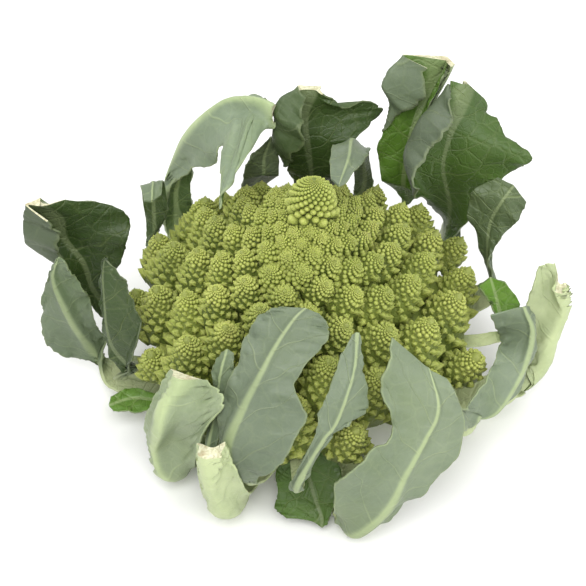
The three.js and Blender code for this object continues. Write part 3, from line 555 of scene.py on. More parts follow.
def floret_frame(n):
    """Tip, axis, side and down directions and size of floret n, from its place on the spiral."""
    arc = SPIRAL_START * math.exp(SPIRAL_GROWTH * n)
    azimuth = SPIRAL_PHASE + GOLD * n
    r, z, _ = dome_at(arc)
    size = cell_size(r, arc)
    out = np.array([math.cos(azimuth), math.sin(azimuth), 0.0])
    flat = np.array([-out[1], out[0], 0.0])
    young = math.exp(-(arc / UPRIGHT_ARC) ** 3)
    tilt = math.radians(FLORET_TILT + YOUNG_TILT * young + TILT_STRAY * wobble(n, 1))
    axis = out * math.sin(tilt) + np.array([LEAN_RIGHT, 0, math.cos(tilt)])
    axis = unit(axis + flat * SIDE_STRAY * wobble(n, 2))
    down = unit(np.cross(axis, flat))
    side = np.cross(down, axis)
    tip = np.array([r * out[0], r * out[1], z - TIP_STRAY * size * (1 + wobble(n, 3))])
    return tip, axis, side, down, size


def cell_size(r, arc):
    """Distance between neighbours on the head's spiral, at a radius and an arc length from its tip."""
    return np.sqrt(2 * 2 * math.pi * r * arc * SPIRAL_GROWTH / math.sqrt(3))


def cone_depth(radius, reach):
    """Depth below a floret's tip at a distance from its axis: a cone a little blunter at the tip."""
    return radius * math.tan(math.radians(FLORET_SLOPE)) * (1 - SIDE_BULGE * (1 - radius / reach))


def grid_faces(rows, cols):
    """Triangles between the rows of a closed ring grid, facing outwards when the rows run downwards."""
    r0 = np.repeat(np.arange(rows - 1), cols) * cols
    c0 = np.tile(np.arange(cols), rows - 1)
    c1 = (c0 + 1) % cols
    return np.concatenate([np.stack([r0 + c0, r0 + cols + c0, r0 + cols + c1], -1),
                           np.stack([r0 + c0, r0 + cols + c1, r0 + c1], -1)])


def add_floret(heap, n):
    """A flesh cone dark with painted shade, and knobs over it on the golden spiral, in three levels of
    detail by size.

    Knob i stands at FOOT_SHARE * reach * exp(growth * (i - last)) and at i golden angles, on the cone of
    `cone_depth`. Its axis lies between the cone's normal and the floret's own axis.
    """
    tip, axis, side, down, size = floret_frame(n)
    reach = size * FLORET_REACH
    turn = n * FLORET_TURN
    growth = KNOB_GROWTH * (1 + 1.3 * math.exp(-(size - 5) / 5))
    cap = CAP_SHARE * reach
    count = int(math.log(reach * FOOT_SHARE / cap) / growth)
    i = np.arange(count)
    radius = FOOT_SHARE * reach * np.exp(growth * (i - count + 1))
    angle = turn + GOLD * i
    slope = math.radians(FLORET_SLOPE)
    knob = 0.5 * radius * math.sqrt(2 * 2 * math.pi * growth / math.cos(slope) / math.sqrt(3))
    spoke = side * np.cos(angle)[:, None] + down * np.sin(angle)[:, None]
    depth = cone_depth(radius, reach)
    normal = unit(spoke * math.sin(slope) + axis * math.cos(slope))
    place = place_on_head(tip + spoke * radius[:, None] - axis * depth[:, None])
    stray = np.stack([wobble(i + n, 4), wobble(i + n, 5), wobble(i + n, 6)], -1)
    axes = unit(normal + 0.55 * axis + 0.1 * stray)
    keep = place[:, 2] > RIM_FLOOR + 0.5
    place = place + stray * (0.16 * knob)[:, None]
    sizes = knob * (1.12 + 0.14 * wobble(i * 1.7 + n, 7))
    random = 0.5 + 0.5 * wobble(n, 8)
    levels = ((ROUND, 0, SMALL_KNOB_FROM), (SMALL_KNOB, SMALL_KNOB_FROM, LARGE_KNOB_FROM),
              (LARGE_KNOB, LARGE_KNOB_FROM, math.inf))
    for template, low, high in levels if size > ALL_LEVELS_FROM else ((ROUND, 0, math.inf),):
        pick = keep & (knob >= low) & (knob < high)
        if not pick.any():
            continue
        drop = 0.2 if template is ROUND else 0.8
        at = place[pick] + axes[pick] * (sizes[pick] * drop)[:, None]
        points, faces, marks = spread(template, at, axes[pick], sizes[pick], angle[pick])
        share = np.repeat(radius[pick] / reach, len(template[0]))
        heap.add(points, faces, bump=marks, along=share, floret=random)
    # One knob closes the tip
    top = place_on_head(tip[None] - axis * cone_depth(cap, reach) * 0.4)
    points, faces, marks = spread(SMALL_KNOB, top, axis[None], np.array([cap * 1.15]), np.array([turn]))
    heap.add(points, faces, bump=marks, along=0.05, floret=random)
    # The flesh under the knobs
    rows, cols = 9, 20
    share = np.concatenate([np.linspace(0, 1, rows), [0]])
    ring = share[:, None] * reach * FOOT_SHARE
    turns = np.linspace(0, 2 * math.pi, cols, endpoint=False)[None]
    spokes = side * np.cos(turns)[..., None] + down * np.sin(turns)[..., None]
    sunk = cone_depth(ring, reach) + 0.16 * ring
    sunk[-1] = sunk[-2]
    cone = tip + spokes * ring[..., None] - axis * sunk[..., None]
    # What would hang below the rim's floor is drawn back towards the tip, into a level cut
    back = (tip[2] - RIM_FLOOR) / np.maximum(tip[2] - cone[..., 2:], 1e-6)
    cone = tip + (cone - tip) * np.minimum(back, 1)
    cone = place_on_head(cone).reshape(-1, 3)
    # bump 0 gives the flesh cone the hollows' painted shade
    heap.add(cone, grid_faces(rows + 1, cols), bump=0.0, along=np.repeat(share, cols), floret=random)


def add_young_florets(heap):
    """The crowded round beads of the head's tip, one for each young floret.

    They follow the same spiral inwards, where the arc length grows by less from bead to bead.
    """
    n = math.ceil(math.log(FIRST_FLORET_ARC / SPIRAL_START) / SPIRAL_GROWTH)
    arc = SPIRAL_START * math.exp(SPIRAL_GROWTH * n)
    beads = []
    while arc > YOUNGEST_ARC:
        growth = YOUNG_GROWTH + (SPIRAL_GROWTH - YOUNG_GROWTH) * float(smooth(20, 25, arc))
        arc *= math.exp(-growth)
        n -= 1
        beads.append((n, arc, growth))
    n, arc, growth = np.array(beads).T
    r, z, slope = dome_at(arc)
    angle = SPIRAL_PHASE + GOLD * n
    out = np.stack([np.cos(angle), np.sin(angle), 0 * angle], -1)
    up = np.array([0, 0, 1.0])
    normal = out * np.sin(slope)[:, None] + up * np.cos(slope)[:, None]
    size = 0.5 * cell_size(r, arc) * np.sqrt(growth / SPIRAL_GROWTH)
    axes = unit(normal + 0.35 * up)
    sink = size * (0.6 + 1.1 * smooth(12, FIRST_FLORET_ARC, arc))
    place = place_on_head(out * r[:, None] + up * z[:, None] - normal * sink[:, None])
    stray = 1 + 0.08 * wobble(n, 9)
    points, faces, marks = spread(BEAD, place, axes, size * 1.35 * stray, angle)
    heap.add(points, faces, bump=marks, along=0.4, floret=0.5)


def add_flesh(heap):
    """The flesh below the florets, closed underneath.

    It is the dome lowered along its normal by a share of a floret's size: about a quarter at the tip,
    about the whole size further down.
    """
    arc = np.linspace(0.5, 120, 60)
    r, z, slope = dome_at(arc)
    share = 0.28 + 0.8 * smooth(8, 25, arc) - 0.3 * smooth(90, 120, arc)
    depth = np.minimum(cell_size(r, arc), 26) * share
    r = np.concatenate([[0], r - depth * np.sin(slope), [CORE_RADIUS, 0]])
    z = z - depth * np.cos(slope)
    z = np.concatenate([[z[0]], z, [CURD_FLOOR, CURD_FLOOR]])
    cols = 72
    turns = np.linspace(0, 2 * math.pi, cols, endpoint=False)
    points = np.stack([r[:, None] * np.cos(turns), r[:, None] * np.sin(turns),
                       np.repeat(z[:, None], cols, 1)], -1)
    points = place_on_head(points).reshape(-1, 3)
    # bump 0 gives this flesh the hollows' painted shade
    heap.add(points, grid_faces(len(r), cols), bump=0.0, along=1.0, floret=0.5)


def make_curd(material):
    """The whole curd in several pieces, each under the limit on triangles."""
    heap = Heap()
    add_flesh(heap)
    add_young_florets(heap)
    part = 0
    first = math.ceil(math.log(FIRST_FLORET_ARC / SPIRAL_START) / SPIRAL_GROWTH)
    last = math.floor(math.log(LAST_FLORET_ARC / SPIRAL_START) / SPIRAL_GROWTH)
    for n in range(first, last + 1):
        add_floret(heap, n)
        if heap.triangles() > PIECE_TRIANGLES:
            heap.piece(f"curd_florets_{part}", material)
            heap = Heap()
            part += 1
    heap.piece(f"curd_florets_{part}", material)


# The leaves

def cubic(p0, p1, p2, p3, f):
    """The smooth curve from p1 to p2 at the fraction f, with p0 before them and p3 after them."""
    return 0.5 * (2 * p1 + (p2 - p0) * f + (2 * p0 - 5 * p1 + 4 * p2 - p3) * f ** 2
                  + (3 * p1 - p0 - 3 * p2 + p3) * f ** 3)


def curve_through(points, t):
    """A smooth curve through control points along axis 0, read at the parameters t."""
    i = np.minimum(np.floor(t).astype(int), len(points) - 2)
    f = (t - i).reshape((-1,) + (1,) * (points.ndim - 1))
    ends = np.concatenate([[2 * points[0] - points[1]], points, [2 * points[-1] - points[-2]]])
    return cubic(*(ends[i + k] for k in range(4)), f)


def polar(azimuth, radius, height):
    """A point from its azimuth in degrees, radius and height."""
    a = math.radians(azimuth)
    return np.array([radius * math.cos(a), radius * math.sin(a), height])


def control_rows(rows):
    """Five control points across each row: left edge, left half, rib, right half, right edge."""
    rib_of = lambda row: polar(*(row["centre"] if isinstance(row, dict) else row[1]))
    out = []
    for k, row in enumerate(rows):
        rib = rib_of(row)
        if isinstance(row, dict):
            right = unit(np.cross(unit(rib_of(rows[k + 1]) - rib), [0, 0, -1]))
            out.append([rib + right * row["width"] * f for f in (-0.5, -0.25, 0, 0.25, 0.5)])
            continue
        p = [polar(*q) for q in row]
        fold = p[2] if len(p) == 4 else (rib + p[-1]) / 2
        out.append([p[0], (p[0] + rib) / 2, rib, fold, p[-1]])
    return np.array(out)


def normals_of(grid):
    """Unit normals of a grid of points, outwards: the cross product of its two gradients."""
    return unit(np.cross(np.gradient(grid, axis=1), np.gradient(grid, axis=0)))


def leaf_sheet(leaf, order, t, e, blade_from, share, blade):
    """A leaf's ruffled inner sheet: its points, their normals and their distances from the rib.

    Each station is a smooth curve across its five points. The blade's reach shrinks by a wave of its
    own on each side, with a few small notches. The edges ruffle along the normal as the CAD leaf's
    do, with a finer wave on top.
    """
    cross = curve_through(control_rows(leaf["rows"]), t)
    half = np.stack([np.linalg.norm(cross[:, k] - cross[:, 2], axis=-1) for k in (0, 4)], -1)
    side = (e > 0).astype(int)
    nibble = np.stack([noise_wave(t * 1.9 + 1, order + 0.3), noise_wave(t * 1.7, order + 5.1)], -1)
    teeth = np.stack([noise_wave(t * 6.1, order + 2.3, 2), noise_wave(t * 5.3, order + 7.9, 2)], -1)
    notches = np.maximum(teeth, 0) ** 2
    reach = 1 - blade[:, None] * (0.075 * (0.7 + 0.7 * nibble) + 0.07 * notches)
    outer_part = smooth(0.35, 1, np.abs(e))
    u = np.clip(2 + 2 * e[None] * (1 + outer_part[None] * (reach[:, side] - 1)), 0, 4)
    k = np.minimum(np.floor(u).astype(int), 3)
    ends = np.concatenate([2 * cross[:, :1] - cross[:, 1:2], cross, 2 * cross[:, -1:] - cross[:, -2:-1]], 1)
    station = np.arange(len(t))[:, None]
    grid = cubic(*(ends[station, k + j] for j in range(4)), (u - k)[..., None])
    snap = (STUMP_RADIUS + STALK_GAP) / np.hypot(grid[0, :, 0], grid[0, :, 1])
    grid[0, :, :2] *= snap[:, None]
    sign = -np.cos(math.pi * (blade_from + 2 * (t - blade_from)))
    fine = noise_wave(t * 5.5, order * 1.7, 3)[:, None] * noise_wave(e * 2 + order, order)[None]
    calm = (blade * smooth(0, 0.12, 1 - share * 0.999))[:, None]
    lift = calm * (leaf["wave"] * sign[:, None] * np.abs(e) ** 2.5 + 2.2 * fine * np.abs(e) ** 1.2)
    grid = clear_of_head(grid + normals_of(grid) * lift[..., None])
    return grid, normals_of(grid), e[None] * half[:, side]


def leaf_depths(thick, e, off_rib, share, blade):
    """How far the rib on the inner face, and the outer face, stand off a leaf's sheet.

    The blade's thickness is raised to the rib's by a bell curve of the distance from the rib. Along
    the stalk the sheet has a round section of its own.
    """
    rib_depth = thick[0] * (1 - blade) + (thick[1] + (thick[2] - thick[1]) * share) * blade
    bell = np.exp(-1.1 * off_rib ** 2.4)
    stalk_round = np.sqrt(np.clip(1 - (np.abs(e) * 0.94) ** 2, 0, 1))[None]
    sheet = BLADE * blade[:, None] + (1 - blade[:, None]) * thick[0] * 0.42 * stalk_round
    return 0.12 * thick[1] * bell * blade[:, None], sheet + (rib_depth[:, None] - sheet) * bell


def leaf_faces(n_rows, n_cols, cut):
    """Quads of a leaf's closed sheet, and their materials: 0 outside, 1 inside, 2 on a cut end.

    The points are the inner grid, the outer grid, and the end's inner and outer row once more, so
    that a cut face keeps a sharp rim.
    """
    offset = n_rows * n_cols
    a = np.repeat(np.arange(n_rows - 1), n_cols - 1) * n_cols + np.tile(np.arange(n_cols - 1), n_rows - 1)
    b, c, d = a + 1, a + n_cols + 1, a + n_cols
    left = np.arange(n_rows - 1) * n_cols
    right = left + n_cols - 1
    j = np.arange(n_cols - 1)
    end_in = np.arange(n_cols) + 2 * offset
    end_out = end_in + n_cols
    sides = [
        ((a, d, c, b), 1),
        ((a + offset, b + offset, c + offset, d + offset), 0),
        ((left, left + offset, left + offset + n_cols, left + n_cols), 0),
        ((right, right + n_cols, right + offset + n_cols, right + offset), 0),
        ((j, j + 1, j + 1 + offset, j + offset), 0),
        ((end_in[:-1], end_out[:-1], end_out[1:], end_in[1:]), 2 if cut else 0),
    ]
    faces = np.concatenate([np.stack(corners, -1) for corners, _ in sides])
    return faces, np.concatenate([np.full(len(corners[0]), slot) for corners, slot in sides])


def make_leaf(leaf, order, materials):
    """One leaf as a closed sheet: the inner face through the control rows, the outer face set off it.

    t runs along the rows and e from -1 to 1 across them. `share` is how far along the blade t is, and
    `blade` how far the stalk has become blade. The marks tell the materials where on the leaf a point is.
    """
    rows, thick = leaf["rows"], leaf["thick"]
    last = len(rows) - 1
    blade_from = sum(isinstance(row, dict) for row in rows) - 1
    big = thick[0] > 5
    per_row, cols = (14, 49) if big else (9, 33)
    t = np.concatenate([np.linspace(0, blade_from, 5 * blade_from, endpoint=False),
                        np.linspace(blade_from, last, per_row * (last - blade_from) + 1)])
    share = np.clip((t - blade_from) / (last - blade_from), 0, 1)
    blade = smooth(0, 0.5 / (last - blade_from), share)
    e = np.linspace(-1, 1, cols)
    e = np.sign(e) * np.abs(e) ** 1.15
    grid, normal, across = leaf_sheet(leaf, order, t, e, blade_from, share, blade)
    off = np.abs(across)
    rib_end = leaf["cut"] / 2 if leaf["cut"] else 1.2
    rib_half = rows[blade_from]["width"] * 0.36 * (1 - share) ** 1.3 + rib_end * share
    inner_lift, depth = leaf_depths(thick, e, np.minimum(off / rib_half[:, None], 4), share, blade)
    inner = grid + normal * inner_lift[..., None]
    outer = grid + normal * depth[..., None]
    points = np.concatenate([inner.reshape(-1, 3), outer.reshape(-1, 3)])
    points[:, 2] = np.maximum(points[:, 2], LEAF_FLOOR)
    points = np.concatenate([points, inner[-1], outer[-1]])
    points = np.clip(points, np.array(cad_box[0]) / MM + BOX_MARGIN, np.array(cad_box[1]) / MM - BOX_MARGIN)
    faces, slots = leaf_faces(len(t), cols, leaf["cut"])
    along = np.concatenate([[0], np.cumsum(np.linalg.norm(np.diff(grid[:, cols // 2], axis=0), axis=-1))])
    fleshy = 1 - smooth(0, 0.9 / (last - blade_from), share)
    near_cut = smooth(0.55, 1, share) if leaf["cut"] else 0 * share
    wide = np.maximum(fleshy, near_cut)
    outer_half = rib_half * (0.42 + 0.6 * wide)
    inner_half = (1 - wide) * (1.5 - 0.8 * share) + wide * rib_half * 0.95
    marks = {
        "across": across,
        "along": np.repeat(along[:, None], cols, 1),
        "rib_outer": np.minimum(off / outer_half[:, None], 4),
        "rib_inner": np.minimum(off / inner_half[:, None], 4),
        "edge": np.abs(e)[None] * blade[:, None],
        "stalk": np.repeat(fleshy[:, None], cols, 1),
    }
    doubled = {key: np.concatenate([v.ravel(), v.ravel(), v[-1], v[-1]]) for key, v in marks.items()}
    for key, value in zip(("wax", "bright", "dull", "pale", "light"), leaf["look"]):
        doubled[key] = np.full(len(points), value)
    return build(leaf["name"] + "_blade", points, faces, leaf["name"], attributes=doubled,
                 materials=materials, face_material=slots)


# The stem

def make_stem(flesh, cut):
    """A turned outline with leaf scars on the stump and ridges on the crown; its foot is a flat cut."""
    outline_r = [0, 8, 16, 21, 22.8, 23.4, 23.6, 23.6, 23.4, 23.6, 25, 28, 31, 37, 45, 52, 56.4, 56, 30, 0]
    outline_z = [0, 0, 0, 0, 0.3, 1, 2, 10, 20, 33, 36, 38, 39.2, 42, 46, 48, 50, 52, 52, 52]
    steps = 96
    fine = np.linspace(0, len(outline_r) - 1, steps)
    r = np.interp(fine, np.arange(len(outline_r)), outline_r)
    z = np.interp(fine, np.arange(len(outline_z)), outline_z)
    turns = np.linspace(0, 2 * math.pi, steps, endpoint=False)
    spread_out = np.clip((z - STUMP_HEIGHT) / 14, 0, 1)[:, None]
    ridge = 1 - spread_out * 0.07 * (1 - np.cos(CROWN_RIDGES * turns))[None]
    scar = np.sin(2 * turns[None] + z[:, None] * 0.35) * np.sin(z[:, None] * 0.7) * 0.25
    body = ((z > 3) & (z < STUMP_HEIGHT))[:, None]
    radius = (r[:, None] + scar * body - 0.25 * body) * ridge
    points = np.stack([radius * np.cos(turns), radius * np.sin(turns), np.repeat(z[:, None], steps, 1)], -1)
    ring = np.repeat(np.arange(steps - 1), steps)
    r0 = ring * steps
    c0 = np.tile(np.arange(steps), steps - 1)
    c1 = (c0 + 1) % steps
    faces = np.stack([r0 + c0, r0 + c1, r0 + steps + c1, r0 + steps + c0], -1)
    foot = (z[:-1] < 0.2)[ring]
    return build("stem_flesh", points.reshape(-1, 3), faces, "stem",
                 materials=[flesh, cut], face_material=foot.astype(int))


# Materials; colours are linear red, green, blue, alpha

OUTER_WAX = (0.16, 0.205, 0.14, 1)
OUTER_GREEN = (0.07, 0.135, 0.016, 1)
OUTER_SHADE = (0.12, 0.165, 0.08, 1)
OUTER_VEIN = (0.36, 0.43, 0.22, 1)
RIB = (0.36, 0.44, 0.23, 1)
STALK = (0.50, 0.57, 0.32, 1)
INNER_DARK = (0.045, 0.085, 0.02, 1)
INNER_BRIGHT = (0.115, 0.24, 0.028, 1)
INNER_DULL = (0.13, 0.16, 0.10, 1)
INNER_PATCH = (0.10, 0.15, 0.055, 1)
INNER_VEIN = (0.28, 0.36, 0.14, 1)
PAINTED_HOLLOW_SHADE = (0.085, 0.115, 0.02, 1)
KNOB = (0.29, 0.335, 0.075, 1)
KNOB_TIP_AND_HIGHLIGHT = (0.395, 0.43, 0.12, 1)
SHADED_KNOB = (0.25, 0.30, 0.06, 1)
BLUSH = (0.40, 0.32, 0.15, 1)
CUT_DARK = (0.46, 0.44, 0.27, 1)
CUT_PALE = (0.70, 0.70, 0.50, 1)
CUT_STAIN = (0.36, 0.27, 0.14, 1)
CUT_SPECK = (0.30, 0.22, 0.11, 1)
STEM_DARK = (0.48, 0.55, 0.27, 1)
STEM_PALE = (0.62, 0.67, 0.42, 1)


def node(tree, kind, settings=None, **inputs):
    """A shader node; inputs are values or sockets by name, with _ for a space."""
    made = tree.nodes.new("ShaderNode" + kind)
    for key, value in (settings or {}).items():
        setattr(made, key, value)
    for key, value in inputs.items():
        socket = made.inputs[int(key[1:])] if key[1:].isdigit() else made.inputs[key.replace("_", " ")]
        if isinstance(value, bpy.types.NodeSocket):
            tree.links.new(value, socket)
        else:
            socket.default_value = value
    return made


def calc(tree, operation, a, b=0.0, c=0.0):
    """One sum on values or sockets."""
    return node(tree, "Math", {"operation": operation}, i0=a, i1=b, i2=c).outputs[0]


def mix(tree, share, a, b, how="MIX"):
    """A colour between a and b, by share."""
    made = node(tree, "Mix", {"data_type": "RGBA", "blend_type": how}, i0=share, i6=a, i7=b)
    return made.outputs[2]


def remap(tree, value, low, high, to_low=0.0, to_high=1.0):
    """value, eased from low..high to to_low..to_high."""
    made = node(tree, "MapRange", {"interpolation_type": "SMOOTHSTEP"}, Value=value)
    for key, number in zip(("From Min", "From Max", "To Min", "To Max"), (low, high, to_low, to_high)):
        made.inputs[key].default_value = number
    return made.outputs[0]


def mark(tree, name):
    """A value stored on the piece's own points."""
    return node(tree, "Attribute", {"attribute_name": name}).outputs["Fac"]


def group(name, inputs, outputs):
    """An empty shader group with named sockets: (tree, input node, output node)."""
    tree = bpy.data.node_groups.new(name, "ShaderNodeTree")
    for label, kind in inputs:
        tree.interface.new_socket(label, in_out="INPUT", socket_type=kind)
    for label, kind in outputs:
        tree.interface.new_socket(label, in_out="OUTPUT", socket_type=kind)
    return tree, tree.nodes.new("NodeGroupInput"), tree.nodes.new("NodeGroupOutput")


def mottling_group():
    """Uneven colour of living tissue: broad soft patches and fine grain on Object coordinates."""
    tree, start, end = group("mottling", [("Color", "NodeSocketColor"), ("Strength", "NodeSocketFloat")],
                             [("Color", "NodeSocketColor"), ("Grain", "NodeSocketFloat")])
    place = node(tree, "TexCoord").outputs["Object"]
    broad = node(tree, "TexNoise", None, Vector=place, Scale=38.0, Detail=3.0, Roughness=0.55).outputs[0]
    fine = node(tree, "TexNoise", None, Vector=place, Scale=420.0, Detail=2.0, Roughness=0.6).outputs[0]
    strength = start.outputs["Strength"]
    dark = mix(tree, 1.0, start.outputs["Color"], (0.62, 0.66, 0.5, 1), "MULTIPLY")
    light = mix(tree, 1.0, start.outputs["Color"], (1.22, 1.18, 1.05, 1), "MULTIPLY")
    toned = mix(tree, remap(tree, broad, 0.3, 0.7), dark, light)
    grained = mix(tree, remap(tree, fine, 0.35, 0.7, 0.0, 0.35), toned, light)
    tree.links.new(mix(tree, strength, start.outputs["Color"], grained), end.inputs["Color"])
    tree.links.new(fine, end.inputs["Grain"])
    return tree


def vein_group():
    """Leaf veins: side veins that slant from the rib to the tip, and a fine net between them."""
    tree, start, end = group(
        "veins", [("Spacing", "NodeSocketFloat"), ("Slant", "NodeSocketFloat")],
        [("Veins", "NodeSocketFloat"), ("Net", "NodeSocketFloat")])
    place = node(tree, "TexCoord").outputs["Object"]
    bend = node(tree, "TexNoise", None, Vector=place, Scale=26.0, Detail=2.0).outputs[0]
    across = mark(tree, "across")
    off = calc(tree, "ABSOLUTE", across)
    right = calc(tree, "GREATER_THAN", across, 0.0)
    along = calc(tree, "MULTIPLY_ADD", bend, 34.0, mark(tree, "along"))
    slanted = calc(tree, "SUBTRACT", along, calc(tree, "MULTIPLY", off, start.outputs["Slant"]))
    step = calc(tree, "DIVIDE", slanted, start.outputs["Spacing"])
    step = calc(tree, "MULTIPLY_ADD", right, 0.43, step)
    near = calc(tree, "ABSOLUTE", calc(tree, "SUBTRACT", calc(tree, "FRACT", step), 0.5))
    gap = calc(tree, "MULTIPLY", calc(tree, "SUBTRACT", 0.5, near), start.outputs["Spacing"])
    width = calc(tree, "MAXIMUM", calc(tree, "MULTIPLY_ADD", off, -0.022, 0.8), 0.3)
    veins = calc(tree, "SUBTRACT", 1.0, calc(tree, "MINIMUM", calc(tree, "DIVIDE", gap, width), 1.0))
    net = None
    for scale, weight in ((105.0, 0.65), (270.0, 0.35)):
        cell = node(tree, "TexVoronoi", {"feature": "DISTANCE_TO_EDGE"}, Vector=place, Scale=scale)
        line = calc(tree, "MULTIPLY", remap(tree, cell.outputs["Distance"], 0.0, 0.09, 1.0, 0.0), weight)
        net = line if net is None else calc(tree, "ADD", net, line)
    tree.links.new(calc(tree, "POWER", veins, 0.8), end.inputs["Veins"])
    tree.links.new(net, end.inputs["Net"])
    return tree


SUBSURFACE_REACH = 0.004
MOTTLING = mottling_group()
VEINS = vein_group()


def surface(name, roughness, subsurface=0.0):
    """A new material: (material, tree, Principled BSDF)."""
    material = bpy.data.materials.new(name)
    material.use_nodes = True
    tree = material.node_tree
    shader = tree.nodes["Principled BSDF"]
    shader.inputs["Roughness"].default_value = roughness
    shader.inputs["IOR"].default_value = 1.4
    shader.inputs["Subsurface Weight"].default_value = subsurface
    shader.inputs["Subsurface Radius"].default_value = (0.4, 0.6, 0.15)
    shader.inputs["Subsurface Scale"].default_value = SUBSURFACE_REACH
    return material, tree, shader


def relief(tree, shader, height, distance, strength=1.0):
    """Feeds a height through a Bump node."""
    bump = node(tree, "Bump", None, Height=height, Strength=strength, Distance=distance)
    tree.links.new(bump.outputs["Normal"], shader.inputs["Normal"])


def noise(tree, scale, detail, roughness=0.5, place=None):
    """Noise on Object coordinates, or on a place of its own."""
    if place is None:
        place = node(tree, "TexCoord").outputs["Object"]
    made = node(tree, "TexNoise", None, Vector=place, Scale=scale, Detail=detail, Roughness=roughness)
    return made.outputs[0]


def paint(tree, shader, colour, strength):
    """Gives the shader a colour, put through the mottling group, and returns the grain."""
    made = tree.nodes.new("ShaderNodeGroup")
    made.node_tree = MOTTLING
    tree.links.new(colour, made.inputs["Color"])
    made.inputs["Strength"].default_value = strength
    tree.links.new(made.outputs["Color"], shader.inputs["Base Color"])
    return made.outputs["Grain"]


def curd_material():
    """Yellow-green florets: paler tips, partly their own colour and partly a painted highlight, hollows
    dark green with painted shade, a brownish blush on a few tips.
    """
    material, tree, shader = surface("romanesco curd", 0.55, 0.12)
    place = node(tree, "TexCoord").outputs["Object"]
    bump, along, floret = mark(tree, "bump"), mark(tree, "along"), mark(tree, "floret")
    # Painted shade: the hollows between knobs and the flesh under them are dark green
    deep = mix(tree, remap(tree, bump, 0.0, 0.75), PAINTED_HOLLOW_SHADE, KNOB)
    # Knob tips paler: partly their own colour, partly a painted highlight
    pale = mix(tree, remap(tree, bump, 0.7, 1.0, 0.0, 0.75), deep, KNOB_TIP_AND_HIGHLIGHT)
    young = mix(tree, remap(tree, along, 0.05, 0.6, 0.45, 0.0), pale, KNOB_TIP_AND_HIGHLIGHT)
    shade = mix(tree, remap(tree, floret, 0.0, 1.0, 0.0, 0.35), young, SHADED_KNOB)
    near_tip = remap(tree, along, 0.1, 0.45, 1.0, 0.0)
    blush_here = calc(tree, "MULTIPLY", remap(tree, noise(tree, 21.0, 2.0), 0.62, 0.72), near_tip)
    blushed = mix(tree, calc(tree, "MULTIPLY", blush_here, 0.6), shade, BLUSH)
    grain = paint(tree, shader, blushed, 0.5)
    beads = node(tree, "TexVoronoi", {"feature": "SMOOTH_F1"}, Vector=place, Scale=950.0, Smoothness=0.35)
    height = calc(tree, "SUBTRACT", 1.0, beads.outputs["Distance"])
    relief(tree, shader, calc(tree, "MULTIPLY_ADD", grain, 0.25, height), 0.0005, 0.7)
    return material


def leaf_tone_and_painted_light(tree, colour):
    """A leaf's colour moved towards pale flesh and then scaled, by the leaf's own marks; the scaling is
    partly the leaf's own tone and partly painted light and shade.
    """
    paler = mix(tree, mark(tree, "pale"), colour, STALK)
    return mix(tree, 1.0, paler, mark(tree, "light"), "MULTIPLY")


def leaf_veins(tree):
    """The vein group's side veins and net, spaced and slanted as on these leaves."""
    veins = tree.nodes.new("ShaderNodeGroup")
    veins.node_tree = VEINS
    veins.inputs["Spacing"].default_value = 19.0
    veins.inputs["Slant"].default_value = 0.75
    return veins.outputs["Veins"], veins.outputs["Net"]


def stronger(tree, a, share_a, b, share_b):
    """The larger of two values, each scaled by its share."""
    return calc(tree, "MAXIMUM", calc(tree, "MULTIPLY", a, share_a), calc(tree, "MULTIPLY", b, share_b))


def leaf_outer():
    """The leaf's outside: waxy grey-green or bare green, a pale soft-edged rib, faint pale veins."""
    material, tree, shader = surface("leaf outer face", 0.5, 0.03)
    veins, net = leaf_veins(tree)
    wax, stalk_mark = mark(tree, "wax"), mark(tree, "stalk")
    base = mix(tree, wax, OUTER_GREEN, OUTER_WAX)
    shade = mix(tree, wax, OUTER_GREEN, OUTER_SHADE)
    base = mix(tree, remap(tree, noise(tree, 30.0, 4.0, 0.6), 0.4, 0.7, 0.0, 0.55), base, shade)
    base = mix(tree, remap(tree, mark(tree, "edge"), 0.95, 1.0, 0.0, 0.4), base, OUTER_VEIN)
    base = mix(tree, stronger(tree, veins, 0.3, net, 0.1), base, OUTER_VEIN)
    ribbed = mix(tree, remap(tree, mark(tree, "rib_outer"), 0.3, 1.5, 0.7, 0.0), base, RIB)
    fleshy = mix(tree, remap(tree, stalk_mark, 0.3, 1.0), ribbed, STALK)
    # The leaf's light mark scales this: partly its own tone, partly painted light and shade
    grain = paint(tree, shader, leaf_tone_and_painted_light(tree, fleshy), 0.4)
    height = calc(tree, "MULTIPLY_ADD", veins, 0.35, calc(tree, "MULTIPLY", net, 0.2))
    height = calc(tree, "MULTIPLY", height, remap(tree, stalk_mark, 0.1, 0.7, 1.0, 0.0))
    relief(tree, shader, calc(tree, "MULTIPLY_ADD", grain, 0.15, height), 0.0007, 0.8)
    return material


def leaf_inner():
    """The leaf's inside: dark, bright or dull green by leaf, with fine pale sunk veins."""
    material, tree, shader = surface("leaf inner face", 0.45, 0.03)
    veins, net = leaf_veins(tree)
    base = mix(tree, mark(tree, "bright"), INNER_DARK, INNER_BRIGHT)
    base = mix(tree, mark(tree, "dull"), base, INNER_DULL)
    base = mix(tree, remap(tree, noise(tree, 24.0, 4.0, 0.6), 0.4, 0.7, 0.0, 0.4), base, INNER_PATCH)
    base = mix(tree, stronger(tree, veins, 0.45, net, 0.2), base, INNER_VEIN)
    ribbed = mix(tree, remap(tree, mark(tree, "rib_inner"), 0.5, 1.2, 0.5, 0.0), base, RIB)
    fleshy = mix(tree, remap(tree, mark(tree, "stalk"), 0.4, 1.0), ribbed, STALK)
    # The leaf's light mark scales this: partly its own tone, partly painted light and shade
    grain = paint(tree, shader, leaf_tone_and_painted_light(tree, fleshy), 0.45)
    height = stronger(tree, veins, 1.0, net, 1.0)
    relief(tree, shader, calc(tree, "SUBTRACT", calc(tree, "MULTIPLY", grain, 0.2), height), 0.0005, 0.7)
    return material


